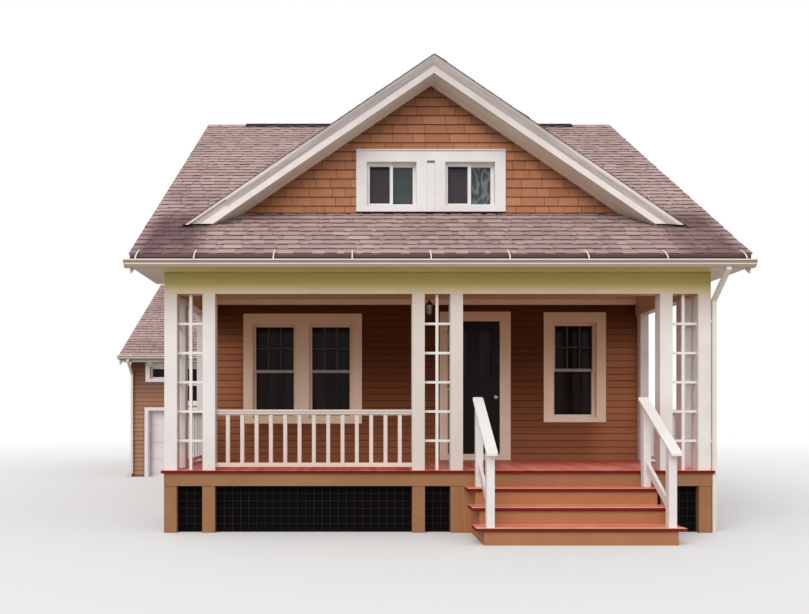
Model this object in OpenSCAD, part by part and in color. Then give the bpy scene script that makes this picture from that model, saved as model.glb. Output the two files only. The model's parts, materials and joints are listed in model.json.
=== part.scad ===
// Bungalow: full-width front porch under the main roof, a broad front gable, a rear wing.
// Millimetres. X to the right as seen from the front, Y to the back, Z up.
// The origin is on the ground, on the house centreline, under the outer face of the front wall.

/* [House body] */
// Width of the house over its side walls
house_w = 6750; // [6600:10:7400]
// Depth of the house from front wall to rear wall
house_d = 7200; // [6800:10:8000]
// Thickness of the outside walls
wall_t = 140; // [110:5:170]
// Top of the foundation above the ground
foundation_h = 550; // [450:10:560]
// Thickness of the foundation walls
foundation_t = 220; // [190:10:300]
// Set-back of the foundation behind the side and rear wall faces
foundation_inset = 20; // [10:5:40]
// Reach of the foundation in front of the front wall, under the porch
foundation_out = 20; // [10:5:30]
// Top of the ground floor
house_floor_z = 860; // [840:5:900]
// Thickness of the upper floor with its joists
upper_floor_t = 240; // [180:10:240]

/* [Main roof] */
// Top of the roof at its eaves
eave_z = 3387; // [3380:1:3500]
// Rise of the main roof for each unit of run
roof_pitch = 0.696; // [0.66:0.002:0.73]
// Thickness of the roof, measured upright
roof_t = 130; // [110:5:135]
// Reach of the front eave past the porch beam
front_eave_out = 290; // [260:10:340]
// Reach of the rear eave past the rear wall
rear_eave_out = 380; // [340:10:440]
// Reach of the roof past the side walls
side_eave_out = 340; // [300:5:400]
// Depth of the rake boards below the roof
rake_board_h = 110; // [80:5:130]
// Thickness of the trim boards
trim_t = 25; // [18:1:30]
// Depth of the boxed returns at the front corners of the eaves
return_d = 1090; // [600:10:1200]

/* [Front gable] */
// Top of the gable roof at its ridge
gable_peak_z = 6090; // [6000:5:6200]
// Rise of the gable roof for each unit of run
gable_pitch = 0.682; // [0.66:0.002:0.72]
// Distance from the front wall forward to the barge boards
gable_out = 1650; // [1600:10:1700]
// Depth of the overhang in front of the gable wall
gable_eave_d = 400; // [350:10:440]
// Thickness of the gable roof, measured upright
gable_roof_t = 70; // [60:5:90]
// Depth of the barge boards, measured upright from the top of the roof
barge_h = 228; // [200:2:250]
// Thickness of the barge boards
barge_t = 40; // [30:1:45]
// Depth of the crown moulding on the barge boards, measured square to the slope
crown_h = 112; // [90:1:130]
// Depth of the upright lip at the top of the crown moulding
crown_lip = 30; // [20:1:40]
// Reach of the crown moulding in front of the barge boards
crown_out = 30; // [20:1:40]
// Distance from the peak to the broken end of the left crown moulding, under its lip
crown_left = 2675; // [2400:5:2750]

/* [Porch] */
// Depth of the porch floor
porch_d = 2100; // [2000:10:2300]
// Top of the porch floor above the ground
porch_floor_z = 770; // [740:5:800]
// Thickness of the floor boards and of the treads
board_t = 36; // [30:1:45]
// Reach of the porch floor past the posts at the sides
floor_lip = 32; // [25:1:34]
// Set-back of the posts behind the front edge of the porch floor
post_in = 50; // [45:1:60]
// Width of the square posts
post_w = 155; // [130:5:170]
// Distance between the centres of a pair of posts
post_pair = 472; // [440:2:500]
// Underside of the porch beams
beam_z = 2950; // [2900:5:3000]
// Underside of the porch ceiling
ceiling_z = 3190; // [3170:5:3210]
// Thickness of the ceiling boards
ceiling_t = 20; // [15:1:30]
// Height of the frieze board under the ceiling
frieze_h = 80; // [60:5:110]
// Depth of the pilasters on the house wall
pilaster_d = 120; // [90:5:150]
// Width of the pilasters on the house wall
pilaster_w = 120; // [110:5:150]
// Height of the rim board under the floor
rim_h = 155; // [130:5:180]
// Thickness of the rim board under the floor
rim_t = 40; // [35:1:50]
// Set-back of the piers behind the rim board
pier_in = 10; // [5:1:20]
// Set-back of the grids behind the rim board
grid_in = 90; // [60:5:120]
// Spacing of the bars in the grids under the porch
grid_pitch = 100; // [80:5:140]
// Width of the bars in the grids under the porch
grid_bar = 14; // [10:1:20]

/* [Lattices and railings] */
// Width of the upright bar of a lattice
lattice_upright = 35; // [25:1:45]
// Height of the cross bars of a lattice
lattice_bar = 30; // [22:1:40]
// Number of cells up the height of a lattice
lattice_cells = 6; // [5:1:8]
// Top of the railings above the porch floor
rail_top = 750; // [700:5:850]
// Height of the top rail
top_rail_h = 70; // [55:1:80]
// Height of the bottom rail
bottom_rail_h = 50; // [40:1:60]
// Gap between the floor and the bottom rail
bottom_gap = 40; // [30:5:90]
// Depth of the rails
rail_d = 60; // [50:1:70]
// Spacing of the balusters
baluster_pitch = 178; // [150:1:190]
// Width of the balusters
baluster_w = 46; // [35:1:50]

/* [Stairs] */
// Number of treads below the porch floor
tread_n = 3; // [3:1:3]
// Depth from one tread to the next
tread_run = 290; // [270:5:310]
// Left end of the treads
stair_left = 325; // [315:5:340]
// Width of the treads
stair_w = 2350; // [2250:10:2400]
// Reach of the treads past the risers
nosing = 25; // [20:1:30]
// Reach of the treads past the strings at each side
tread_side = 90; // [60:5:110]
// Thickness of the risers
riser_t = 20; // [15:1:25]
// Thickness of the strings
string_t = 45; // [38:1:60]
// Depth of the ledger board under the porch rim
ledger_h = 100; // [80:5:110]

/* [Handrails] */
// Distance from the left ends of the treads to the centre of the left handrail
handrail_left_in = 170; // [150:5:210]
// Distance from the right ends of the treads to the centre of the right handrail
handrail_right_in = 140; // [130:5:210]
// Width of the handrail posts
newel_w = 90; // [80:2:100]
// Set-back of the lower handrail post behind the lowest tread edge
newel_in = 55; // [40:5:70]
// Width of the sloping handrail cap
cap_w = 128; // [110:2:150]
// Thickness of the sloping handrail cap
cap_t = 26; // [20:1:50]
// Height of the cap over the tread edges
cap_over = 870; // [840:5:900]
// Reach of the cap in front of the lowest tread edge
cap_out = 50; // [40:5:70]
// Radius of the cap corners
cap_r = 22; // [15:1:30]
// Drop from the cap to the lower sloping rail
stair_rail_drop = 686; // [600:2:700]
// Height of the lower sloping rail, measured upright
stair_rail_h = 107; // [90:1:115]
// Thickness of the lower sloping rail
stair_rail_t = 38; // [32:1:44]

/* [Front door] */
// Left edge of the doorway
door_left = 386; // [380:2:420]
// Width of the doorway
door_w = 785; // [760:5:800]
// Top of the doorway
door_top_z = 2860; // [2820:5:2900]
// Thickness of the door
door_t = 45; // [40:1:50]
// Gap round the door
door_gap = 5; // [5:1:7]
// Gap at the lock side, so that the edge swings clear
lock_gap = 8; // [8:1:10]
// Width of the left casing
door_casing_left = 121; // [100:1:130]
// Width of the right casing
door_casing_right = 163; // [130:1:170]
// Height of the head casing
door_casing_head = 145; // [120:5:150]
// Width of each narrow light in the door
light_w = 182; // [150:2:200]
// Distance from the door centre to the centre of each light
light_out = 173; // [160:1:190]
// Bottom of the door lights
light_low = 2020; // [1980:5:2060]
// Top of the door lights
light_high = 2697; // [2660:1:2710]
// Height of the knob above the floor
knob_h = 855; // [840:5:900]
// Distance from the door edge to the knob
knob_in = 52; // [48:1:60]
// Radius of the hinge knuckles
knuckle_r = 7; // [6:0.5:8]

/* [Windows] */
// Width of a window opening
window_w = 690; // [640:5:720]
// Height of a window opening
window_h = 1463; // [1400:5:1500]
// Bottom of the ground-floor window openings
window_z = 1375; // [1350:5:1400]
// Width of the window casing
casing_w = 123; // [110:1:140]
// Height of the head casing
casing_head = 137; // [120:1:165]
// Width of the sash rails and stiles
sash_w = 42; // [34:1:50]
// Thickness of each sash
sash_t = 35; // [30:1:40]
// Height of the casing under a window
sill_h = 56; // [40:1:60]
// Set-back of the front sash behind the wall face
sash_in = 40; // [30:1:42]
// Distance from the centre of the gable to each of its windows
gable_window_x = 526; // [500:1:560]
// Width of the casing beside the gable windows
gable_casing_w = 123; // [100:1:130]
// Height of the casing over the gable windows
gable_casing_head = 145; // [120:5:160]
// Height of the casing under the gable windows
gable_casing_foot = 65; // [50:1:70]
// Reach of the drip cap over the gable windows
drip_cap_out = 20; // [12:1:30]
// Height of the small side-by-side windows in the gable
gable_window_h = 622; // [580:2:640]
// Width of each opening in the gable
gable_window_w = 702; // [660:2:710]
// Bottom of the gable window openings
gable_window_z = 4240; // [4235:5:4260]

/* [Wing] */
// Width of the wall between the house and the wide low door
wing_door_in = 160; // [150:10:300]
// Width of the wall from the wide low door to the left corner of the wing
wing_door_side = 390; // [300:10:500]
// Right face of the wing, measured from the house centreline
wing_right = 1200; // [1150:10:1400]
// Lap of the wing in front of the rear wall of the house
wing_lap = 1150; // [1000:10:1300]
// Depth of the wing
wing_d = 6900; // [6400:10:7400]
// Top of the wing roof at its eaves
wing_eave_z = 2800; // [2750:5:2850]
// Rise of the wing roof for each unit of run
wing_pitch = 0.6; // [0.56:0.005:0.62]
// Thickness of the wing roof, measured upright
wing_roof_t = 120; // [100:5:140]
// Reach of the wing eaves
wing_eave_out = 300; // [260:10:340]
// Reach of the wing roof past its end walls
wing_side_out = 190; // [150:5:230]
// Thickness of the wing floor
wing_floor_t = 60; // [50:5:100]
// Width of the wide low door
wing_door_w = 2250; // [2200:10:2350]
// Height of the wide low door
wing_door_h = 1540; // [1500:5:1560]
// Number of hinged sections in the wide low door
wing_door_n = 4; // [3:1:5]
// Thickness of the sections of the wide low door
wing_panel_t = 40; // [35:1:50]
// Width of the casing beside the wide low door
wing_door_casing = 84; // [70:1:95]
// Height of the casing over the wide low door
wing_door_head = 68; // [60:1:80]
// Width of the casing round the small wing windows
wing_casing_w = 80; // [60:1:80]

/* [Gutters] */
// Depth of a gutter from back to front
gutter_d = 105; // [95:1:120]
// Height of a gutter
gutter_h = 95; // [85:1:110]
// Thickness of the gutter metal
gutter_t = 5; // [4:0.5:7]
// Drop from the top of the main eaves to the rim of the gutter
gutter_drop = 84; // [70:1:95]
// Drop from the top of the wing eaves to the rim of the gutter
wing_gutter_drop = 10; // [5:1:20]
// Reach of the front gutter past the left end of the roof
gutter_left_out = 50; // [30:5:60]
// Reach of a gutter past the other roof ends
gutter_end_out = 25; // [15:5:30]
// Width of a downspout
spout_w = 50; // [44:1:60]
// Depth of a downspout
spout_d = 75; // [65:1:80]
// Gap between a downspout and the wall
spout_gap = 2; // [1:1:6]
// Gap between the front downspout and the corner post
spout_side_gap = 12; // [8:1:20]
// Width of the straps that hold the downspouts
spout_strap = 30; // [20:1:40]
// Distance from the right end of the rear wall to the rear downspout
rear_spout_in = 60; // [40:5:200]

/* [Porch light] */
// Distance of the light from the house centreline
light_x = 97; // [90:1:140]
// Reach of the light from the wall to its middle
light_reach = 130; // [110:5:150]
// Radius of the light at its foot
light_low_r = 44; // [38:1:50]
// Radius of the light at the top of its glass
light_top_r = 54; // [48:1:60]
// Height of the glass of the light
light_glass_h = 137; // [120:1:150]
// Gap between the top of the light and the porch ceiling
light_gap = 11; // [6:1:40]
// Width of the corner bars of the light
light_bar = 7; // [5:1:9]

/* [Ridge vent] */
// Length of the vent along the main ridge
ridge_vent_w = 6040; // [5400:20:6400]
// Reach of the vent down each slope, measured level
ridge_vent_d = 140; // [110:5:170]
// Thickness of the vent, measured upright
ridge_vent_t = 28; // [20:1:35]

/* [Hidden] */
$fn = 32;

big = 20000;
half_w = house_w / 2;
inner_w = half_w - wall_t;
post_front = -porch_d + post_in;
post_back = post_front + post_w;
corner_x = half_w - post_w / 2;
pair_x = corner_x - post_pair;
centre_x = post_pair / 2;
side_post_back = post_back + post_pair;
beam_top = ceiling_z + ceiling_t;
upper_floor_z = beam_top + upper_floor_t;

roof_front = post_front - front_eave_out;
roof_rear = house_d + rear_eave_out;
ridge_y = (roof_front + roof_rear) / 2;
ridge_run = (roof_rear - roof_front) / 2;
ridge_z = eave_z + roof_pitch * ridge_run;
roof_half_w = half_w + side_eave_out;
soffit_z = beam_top + 5;
soffit_t = 15;
fascia_in = 30;

gable_front = -gable_out;
gable_wall_front = gable_front + gable_eave_d;
gable_back = ridge_y - (ridge_z - gable_peak_z) / roof_pitch;
gable_half_w = (gable_peak_z - eave_z) / gable_pitch;
gable_angle = atan(gable_pitch);
barge_lift = 50;
soffit_up = 4;
drip_cap_h = 12;

wing_left = half_w + wing_door_in + wing_door_w + wing_door_side;
wing_door_x = wing_door_side - wing_left;
wing_front = house_d - wing_lap;
wing_rear = wing_front + wing_d;
wing_ridge_y = (wing_front + wing_rear) / 2;
wing_ridge_z = wing_eave_z + wing_pitch * (wing_ridge_y - wing_front + wing_eave_out);
wing_roof_left = -wing_left - wing_side_out;
wing_roof_right = -wing_right + wing_side_out;
wing_soffit_drop = 30;
wing_panel_lap = 40;
wing_soffit_z = wing_eave_z - wing_roof_t - wing_soffit_drop;

rise = porch_floor_z / (tread_n + 1);
floor_under = porch_floor_z - board_t;
rim_under = floor_under - rim_h;
rim_front = -porch_d + nosing;
wall_pier_y = -foundation_out - post_w;
stair_right = stair_left + stair_w;
string_left = stair_left + tread_side;
string_right = stair_right - tread_side;

leaf_front = -20;
hinge_x = door_left + 2;
hinge_y = -33;
knuckle_h = 40;
knuckle_gap = 0.15;
hinge_in = 200;
hinge_heights = [house_floor_z + hinge_in, (house_floor_z + door_top_z) / 2,
    door_top_z - hinge_in];
frame_pane_y = sash_in + 2 * sash_t;
pane_t = 6;
jamb_t = 18;

outlet_h = 30;
elbow_gap = 5;
elbow_slope = 0.9;
shoe_h = 80;
shoe_out = 150;
strap_in = 350;
strap_z = 1200;
spout_x = half_w + spout_side_gap + spout_w / 2;
spout_y = post_front + spout_d / 2 - 20;
lip_notch = 5;
wing_gutter_out = 20;
gutter_joint = 5;

light_foot_h = 14;
light_cap_h = 92;
light_z = ceiling_z - light_gap - light_cap_h - light_glass_h - light_foot_h;

// Heights of the roof surfaces over a point of the plan
function roof_z(y) = ridge_z - roof_pitch * abs(y - ridge_y);
function roof_under(y) = roof_z(y) - roof_t;
function wing_z(y) = wing_ridge_z - wing_pitch * abs(y - wing_ridge_y);
function wing_under(y) = wing_z(y) - wing_roof_t;
function gable_z(x) = gable_peak_z - gable_pitch * abs(x);

// Front edge of a tread, where number tread_n + 1 is the porch floor
function nose_y(i) = -porch_d - tread_run * (tread_n + 1 - i);
function riser_y(i) = nose_y(i) + nosing;

// Top of the handrail cap over the step line
function cap_z(y) = rise + cap_over + rise / tread_run * (y - nose_y(1));

// Window openings as centre, sill height, width and height
upper_sill_h = 780;
upper_window_h = 1200;
right_window_up = 20;
front_openings = [
    [-2226, window_z, window_w, window_h],
    [-1376, window_z, window_w, window_h],
    [2302, window_z + right_window_up, window_w, window_h]
];
left_openings = [
    [house_d * 0.24, window_z, window_w, window_h],
    [house_d * 0.58, window_z, window_w, window_h]
];
right_openings = [
    [house_d * 0.24, window_z, window_w, window_h],
    [house_d * 0.72, window_z, window_w, window_h]
];
upper_openings = [[ridge_y, upper_floor_z + upper_sill_h, window_w, upper_window_h]];
rear_openings = [
    [half_w * 0.05, window_z, window_w, window_h],
    [half_w * 0.62, window_z, window_w, window_h]
];
gable_openings = [
    [-gable_window_x, gable_window_z, gable_window_w, gable_window_h],
    [gable_window_x, gable_window_z, gable_window_w, gable_window_h]
];
small_window_w = 560;
small_window_h = 310;
small_window_in = 690;
tall_window_w = 500;
tall_window_h = 865;
tall_window_in = 1470;
wing_window_top = wing_soffit_z - wing_casing_w - 5;
wing_front_openings = [
    [small_window_in - wing_left, wing_window_top - small_window_h,
        small_window_w, small_window_h],
    [tall_window_in - wing_left, wing_window_top - tall_window_h,
        tall_window_w, tall_window_h]
];
wing_side_window_h = 1100;
wing_sill_z = 1000;
wing_left_openings = [[wing_ridge_y, wing_sill_z, window_w, wing_side_window_h]];
wing_rear_openings = [[-(wing_left + wing_right) / 2, wing_sill_z, window_w, wing_side_window_h]];

// Helpers
module box(lo, hi) {
    translate(lo)
        cube(hi - lo);
}

// Carries an outline drawn in Y and Z along X
module along_x(x0, x1) {
    translate([x0, 0, 0])
        rotate([90, 0, 90])
            linear_extrude(x1 - x0)
                children();
}

// Carries an outline drawn in X and Z along Y
module along_y(y0, y1) {
    translate([0, y1, 0])
        rotate([90, 0, 0])
            linear_extrude(y1 - y0)
                children();
}

module both_sides() {
    children();
    mirror([1, 0, 0])
        children();
}

// Turns work drawn for the front wall to face another way, at a distance from the origin
module face_left(x) {
    translate([-x, 0, 0])
        rotate([0, 0, -90])
            mirror([1, 0, 0])
                children();
}

module face_right(x) {
    translate([x, 0, 0])
        rotate([0, 0, 90])
            children();
}

module face_rear(y) {
    translate([0, y, 0])
        mirror([0, 1, 0])
            children();
}

// Everything under the top of the front slope
module under_main_slope() {
    along_x(-big, big)
        polygon([[roof_front - ridge_run, roof_z(roof_front - ridge_run)],
            [ridge_y, ridge_z], [ridge_y, 0], [roof_front - ridge_run, 0]]);
}

module window_holes(openings) {
    for (o = openings)
        box([o[0] - o[2] / 2, -1, o[1]], [o[0] + o[2] / 2, wall_t + 1, o[1] + o[3]]);
}

module ring(w, h, t, y0, y1) {
    difference() {
        box([-w / 2, y0, 0], [w / 2, y1, h]);
        box([-w / 2 + t, y0 - 1, t], [w / 2 - t, y1 + 1, h - t]);
    }
}

// Casing boards and jambs round one opening
module window_casing(w, h, side, head, foot) {
    difference() {
        box([-w / 2 - side, -trim_t, -foot], [w / 2 + side, 0, h + head]);
        box([-w / 2 + jamb_t, -trim_t - 1, jamb_t], [w / 2 - jamb_t, 1, h - jamb_t]);
    }
    ring(w, h, jamb_t, -1, wall_t);
}

// Two sashes that pass each other up and down
module hung_sashes(w, h) {
    in_w = w - 2 * jamb_t;
    in_h = h - 2 * jamb_t;
    meet = 0.5 * in_h;
    translate([0, 0, jamb_t]) {
        translate([0, 0, meet - sash_w / 2])
            ring(in_w, in_h - meet + sash_w / 2, sash_w, sash_in, sash_in + sash_t);
        ring(in_w, meet + sash_w / 2, sash_w, sash_in + sash_t, frame_pane_y);
    }
}

// Two sashes that slide past each other sideways
module slider_sashes(w, h) {
    in_w = w - 2 * jamb_t;
    leaf_w = in_w / 2 + sash_w / 2;
    translate([0, 0, jamb_t]) {
        translate([-in_w / 2 + leaf_w / 2, 0, 0])
            ring(leaf_w, h - 2 * jamb_t, sash_w, sash_in, sash_in + sash_t);
        translate([in_w / 2 - leaf_w / 2, 0, 0])
            ring(leaf_w, h - 2 * jamb_t, sash_w, sash_in + sash_t, frame_pane_y);
    }
}

// One sash that fills its opening
module fixed_sash(w, h) {
    translate([0, 0, jamb_t])
        ring(w - 2 * jamb_t, h - 2 * jamb_t, sash_w, sash_in + sash_t, frame_pane_y);
}

module hung_windows(openings) {
    for (o = openings)
        translate([o[0], 0, o[1]]) {
            window_casing(o[2], o[3], casing_w, casing_head, sill_h);
            hung_sashes(o[2], o[3]);
        }
}

module panes(openings) {
    for (o = openings)
        translate([o[0], frame_pane_y, o[1]])
            box([-o[2] / 2 + jamb_t, 0, jamb_t], [o[2] / 2 - jamb_t, pane_t, o[3] - jamb_t]);
}

// House body
module foundation() {
    color("gray")
        difference() {
            box([-half_w + foundation_inset, -foundation_out, 0],
                [half_w - foundation_inset, house_d - foundation_inset, foundation_h]);
            box([-half_w + foundation_t, foundation_t, -1],
                [half_w - foundation_t, house_d - foundation_t, foundation_h + 1]);
        }
}

module house_floor() {
    color("peru")
        box([-inner_w, wall_t, foundation_h], [inner_w, house_d - wall_t, house_floor_z]);
}

module front_wall_left() {
    color("sienna")
        difference() {
            box([-inner_w, 0, foundation_h], [door_left, wall_t, beam_top]);
            window_holes(front_openings);
        }
}

module front_wall_right() {
    color("sienna")
        difference() {
            box([door_left + door_w, 0, foundation_h], [inner_w, wall_t, beam_top]);
            window_holes(front_openings);
        }
}

module front_wall_over_door() {
    color("sienna")
        box([door_left, 0, door_top_z], [door_left + door_w, wall_t, beam_top]);
}

module side_wall_outline() {
    polygon([[0, foundation_h], [house_d, foundation_h], [house_d, roof_under(house_d)],
        [ridge_y, ridge_z - roof_t], [0, roof_under(0)]]);
}

module left_wall() {
    color("sienna")
        difference() {
            along_x(-half_w, -inner_w)
                side_wall_outline();
            face_left(half_w) {
                window_holes(left_openings);
                window_holes(upper_openings);
            }
        }
}

module right_wall() {
    color("sienna")
        difference() {
            along_x(inner_w, half_w)
                side_wall_outline();
            face_right(half_w) {
                window_holes(right_openings);
                window_holes(upper_openings);
            }
        }
}

module rear_wall() {
    inside = house_d - wall_t;
    color("sienna")
        difference() {
            along_x(-inner_w, inner_w)
                polygon([[inside, foundation_h], [house_d, foundation_h],
                    [house_d, roof_under(house_d)], [inside, roof_under(inside)]]);
            face_rear(house_d)
                window_holes(rear_openings);
        }
}

module upper_floor() {
    color("peru")
        box([-inner_w, post_front, beam_top], [inner_w, house_d - wall_t, upper_floor_z]);
}

// Main roof
module main_roof_front() {
    color("rosybrown")
        difference() {
            along_x(-roof_half_w, roof_half_w)
                polygon([[roof_front, eave_z - roof_t], [ridge_y, ridge_z - roof_t],
                    [ridge_y, ridge_z], [roof_front, eave_z]]);
            gable_attic();
        }
}

// Space under the gable roof, open to the attic
module gable_attic() {
    top = gable_peak_z - gable_roof_t;
    reach = (top - upper_floor_z) / gable_pitch;
    along_y(gable_wall_front + wall_t, gable_back)
        polygon([[-reach, upper_floor_z], [reach, upper_floor_z], [0, top]]);
}

module main_roof_rear() {
    color("rosybrown")
        difference() {
            along_x(-roof_half_w, roof_half_w)
                polygon([[ridge_y, ridge_z - roof_t], [roof_rear, eave_z - roof_t],
                    [roof_rear, eave_z], [ridge_y, ridge_z]]);
            box([-big, house_d, 0], [wing_roof_right, roof_rear + 1, ridge_z]);
        }
}

// Folded strip that lets the attic air out along the ridge
module ridge_vent() {
    d = ridge_vent_d;
    foot = roof_z(ridge_y + d);
    color("dimgray")
        along_x(-ridge_vent_w / 2, ridge_vent_w / 2)
            polygon([[ridge_y - d, foot], [ridge_y, ridge_z], [ridge_y + d, foot],
                [ridge_y + d, foot + ridge_vent_t], [ridge_y, ridge_z + ridge_vent_t],
                [ridge_y - d, foot + ridge_vent_t]]);
}

// Strip that follows the underside of the main roof
module rake_outline(depth) {
    polygon([[roof_front, eave_z - roof_t], [ridge_y, ridge_z - roof_t],
        [roof_rear, eave_z - roof_t], [roof_rear, eave_z - roof_t - depth],
        [ridge_y, ridge_z - roof_t - depth], [roof_front, eave_z - roof_t - depth]]);
}

module eave_return() {
    front = roof_front + fascia_in;
    back = front + return_d;
    along_x(half_w, roof_half_w - trim_t)
        polygon([[front, soffit_z], [back, soffit_z], [back, roof_under(back) - soffit_t],
            [front, roof_under(front) - soffit_t]]);
}

// Rake board, sloping soffit and boxed return at the right end
module rake_trim() {
    along_x(roof_half_w - trim_t, roof_half_w)
        rake_outline(rake_board_h);
    along_x(half_w, roof_half_w - trim_t)
        rake_outline(soffit_t);
    eave_return();
}

module left_rake_trim() {
    color("ivory")
        difference() {
            mirror([1, 0, 0])
                rake_trim();
            wing_body();
        }
}

module right_rake_trim() {
    color("ivory")
        rake_trim();
}

// Fascia and level soffit at an eave, from the fascia face to the wall face
module eave_trim_outline(face, wall) {
    back = face + trim_t * sign(wall - face);
    polygon([[face, soffit_z], [wall, soffit_z], [wall, soffit_z + soffit_t],
        [back, soffit_z + soffit_t], [back, roof_under(back)], [face, roof_under(face)]]);
}

module front_eave_trim() {
    color("ivory")
        along_x(-half_w, half_w)
            eave_trim_outline(roof_front + fascia_in, post_front);
}

module rear_eave_trim() {
    color("ivory")
        along_x(wing_roof_right, half_w)
            eave_trim_outline(roof_rear - fascia_in, house_d);
}

// Front gable
module gable_outline(half, drop, depth) {
    polygon([[-half, gable_z(half) - drop], [0, gable_peak_z - drop],
        [half, gable_z(half) - drop], [half, gable_z(half) - drop - depth],
        [0, gable_peak_z - drop - depth], [-half, gable_z(half) - drop - depth]]);
}

module gable_wall() {
    top = gable_peak_z - gable_roof_t;
    foot = gable_z(gable_half_w) - gable_roof_t;
    color("peru")
        difference() {
            along_y(gable_wall_front, gable_wall_front + wall_t)
                polygon([[-gable_half_w, foot], [gable_half_w, foot], [0, top]]);
            under_main_slope();
            translate([0, gable_wall_front, 0])
                window_holes(gable_openings);
        }
}

module gable_roof() {
    color("rosybrown")
        difference() {
            along_y(gable_front + barge_t, gable_back)
                gable_outline(gable_half_w, 0, gable_roof_t);
            under_main_slope();
        }
}

// Carries an outline drawn in Y and Z from the peak down the right slope, as far as end
module down_slope(end) {
    intersection() {
        translate([0, 0, gable_peak_z])
            rotate([0, gable_angle, 0])
                along_x(-barge_h, end / cos(gable_angle) + barge_h)
                    children();
        box([0, -big, 0], [end, 0, gable_peak_z]);
    }
}

// Upright lip of the crown moulding, and the face under it that leans back to the board
module crown_lip_run() {
    down_slope(gable_half_w)
        polygon([[gable_front, 0], [gable_front - crown_out, 0],
            [gable_front - crown_out, -crown_lip], [gable_front, -crown_lip]]);
}

module crown_face_run(end) {
    down_slope(end)
        polygon([[gable_front, -crown_lip], [gable_front - crown_out, -crown_lip],
            [gable_front, -crown_h]]);
}

// Barge boards under a mitred crown moulding, cut level above the shingles of the main roof
module gable_barge_boards() {
    color("ivory")
        difference() {
            union() {
                along_y(gable_front, gable_front + barge_t)
                    gable_outline(gable_half_w, 0, barge_h);
                both_sides()
                    crown_lip_run();
                crown_face_run(gable_half_w);
                mirror([1, 0, 0])
                    crown_face_run(crown_left);
            }
            translate([0, 0, barge_lift])
                under_main_slope();
        }
}

module gable_soffit() {
    color("cornsilk")
        difference() {
            along_y(gable_front + barge_t, gable_wall_front)
                gable_outline(gable_half_w, barge_h - soffit_up - soffit_t, soffit_t);
            under_main_slope();
        }
}

module gable_window() {
    panel_half = gable_window_x - gable_window_w / 2;
    side = gable_window_x + gable_window_w / 2 + gable_casing_w;
    head = gable_window_z + gable_window_h + gable_casing_head;
    foot = gable_casing_foot;
    color("ivory")
        difference() {
            translate([0, gable_wall_front, 0]) {
                for (o = gable_openings)
                    translate([o[0], 0, o[1]]) {
                        window_casing(o[2], o[3], gable_casing_w, gable_casing_head, foot);
                        slider_sashes(o[2], o[3]);
                    }
                box([-panel_half, -trim_t, gable_window_z - foot], [panel_half, 0, head]);
                box([-side, -trim_t - drip_cap_out, head - drip_cap_h], [side, -trim_t, head]);
            }
            under_main_slope();
        }
}

// Porch
// Floor boards, notched for the front downspout
module porch_floor() {
    notch = spout_d / 2 + lip_notch;
    color("indianred")
        difference() {
            box([-half_w - floor_lip, -porch_d, floor_under],
                [half_w + floor_lip, 0, porch_floor_z]);
            box([half_w, spout_y - notch, floor_under - 1],
                [half_w + floor_lip + 1, spout_y + notch, porch_floor_z + 1]);
        }
}

module porch_rim() {
    color("peru")
        difference() {
            box([-half_w, rim_front, rim_under], [half_w, 0, floor_under]);
            box([-half_w + rim_t, rim_front + rim_t, rim_under - 1],
                [half_w - rim_t, 1, floor_under + 1]);
        }
}

module porch_piers() {
    front = rim_front + pier_in;
    color("peru") {
        both_sides() {
            for (x = [corner_x, pair_x, centre_x])
                box([x - post_w / 2, front, 0], [x + post_w / 2, front + post_w, rim_under]);
            for (y = [side_post_back - post_w, wall_pier_y])
                box([half_w - post_w, y, 0], [half_w, y + post_w, rim_under]);
        }
    }
}

// Flat grid of thin bars, drawn in X and Z
module grid(w, h) {
    columns = max(1, round(w / grid_pitch));
    rows = max(1, round(h / grid_pitch));
    for (i = [0 : columns])
        translate([i * (w - grid_bar) / columns, 0])
            square([grid_bar, h]);
    for (j = [0 : rows])
        translate([0, j * (h - grid_bar) / rows])
            square([w, grid_bar]);
}

module porch_grids() {
    y = rim_front + grid_in;
    inner = pair_x - centre_x - post_w;
    narrow = post_pair - post_w;
    side_y = side_post_back;
    color("black") {
        along_y(y, y + grid_bar) {
            translate([-pair_x + post_w / 2, 0])
                grid(inner, rim_under);
            for (x = [-corner_x, -centre_x, pair_x])
                translate([x + post_w / 2, 0])
                    grid(narrow, rim_under);
        }
        both_sides()
            along_x(half_w - grid_in, half_w - grid_in + grid_bar) {
                translate([side_y, 0])
                    grid(wall_pier_y - side_y, rim_under);
                translate([rim_front + pier_in + post_w, 0])
                    grid(side_y - 2 * post_w - rim_front - pier_in, rim_under);
            }
    }
}

module post(x, y0, y1) {
    box([x - post_w / 2, y0, porch_floor_z], [x + post_w / 2, y1, beam_z]);
}

module pilaster() {
    box([half_w - pilaster_w, -pilaster_d, porch_floor_z], [half_w, 0, beam_z]);
}

module porch_posts() {
    color("ivory")
        both_sides() {
            for (x = [corner_x, pair_x, centre_x])
                post(x, post_front, post_back);
            post(corner_x, side_post_back - post_w, side_post_back);
            pilaster();
        }
}

// One upright bar and level cross bars between two posts
module lattice(w) {
    h = beam_z - porch_floor_z;
    translate([w / 2 - lattice_upright / 2, porch_floor_z])
        square([lattice_upright, h]);
    for (k = [1 : lattice_cells - 1])
        translate([0, porch_floor_z + k * h / lattice_cells - lattice_bar / 2])
            square([w, lattice_bar]);
}

module porch_lattices() {
    gap = post_pair - post_w;
    mid = (post_front + post_back) / 2;
    color("ivory") {
        along_y(mid - lattice_bar / 2, mid + lattice_bar / 2)
            for (x = [-corner_x, -centre_x, pair_x])
                translate([x + post_w / 2, 0])
                    lattice(gap);
        both_sides()
            along_x(corner_x - lattice_bar / 2, corner_x + lattice_bar / 2)
                translate([post_back, 0])
                    lattice(gap);
    }
}

module porch_beams() {
    color("ivory")
        difference() {
            box([-half_w, post_front, beam_z], [half_w, 0, beam_top]);
            box([-half_w + post_w, post_back, beam_z - 1], [half_w - post_w, 1, beam_top + 1]);
        }
}

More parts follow.
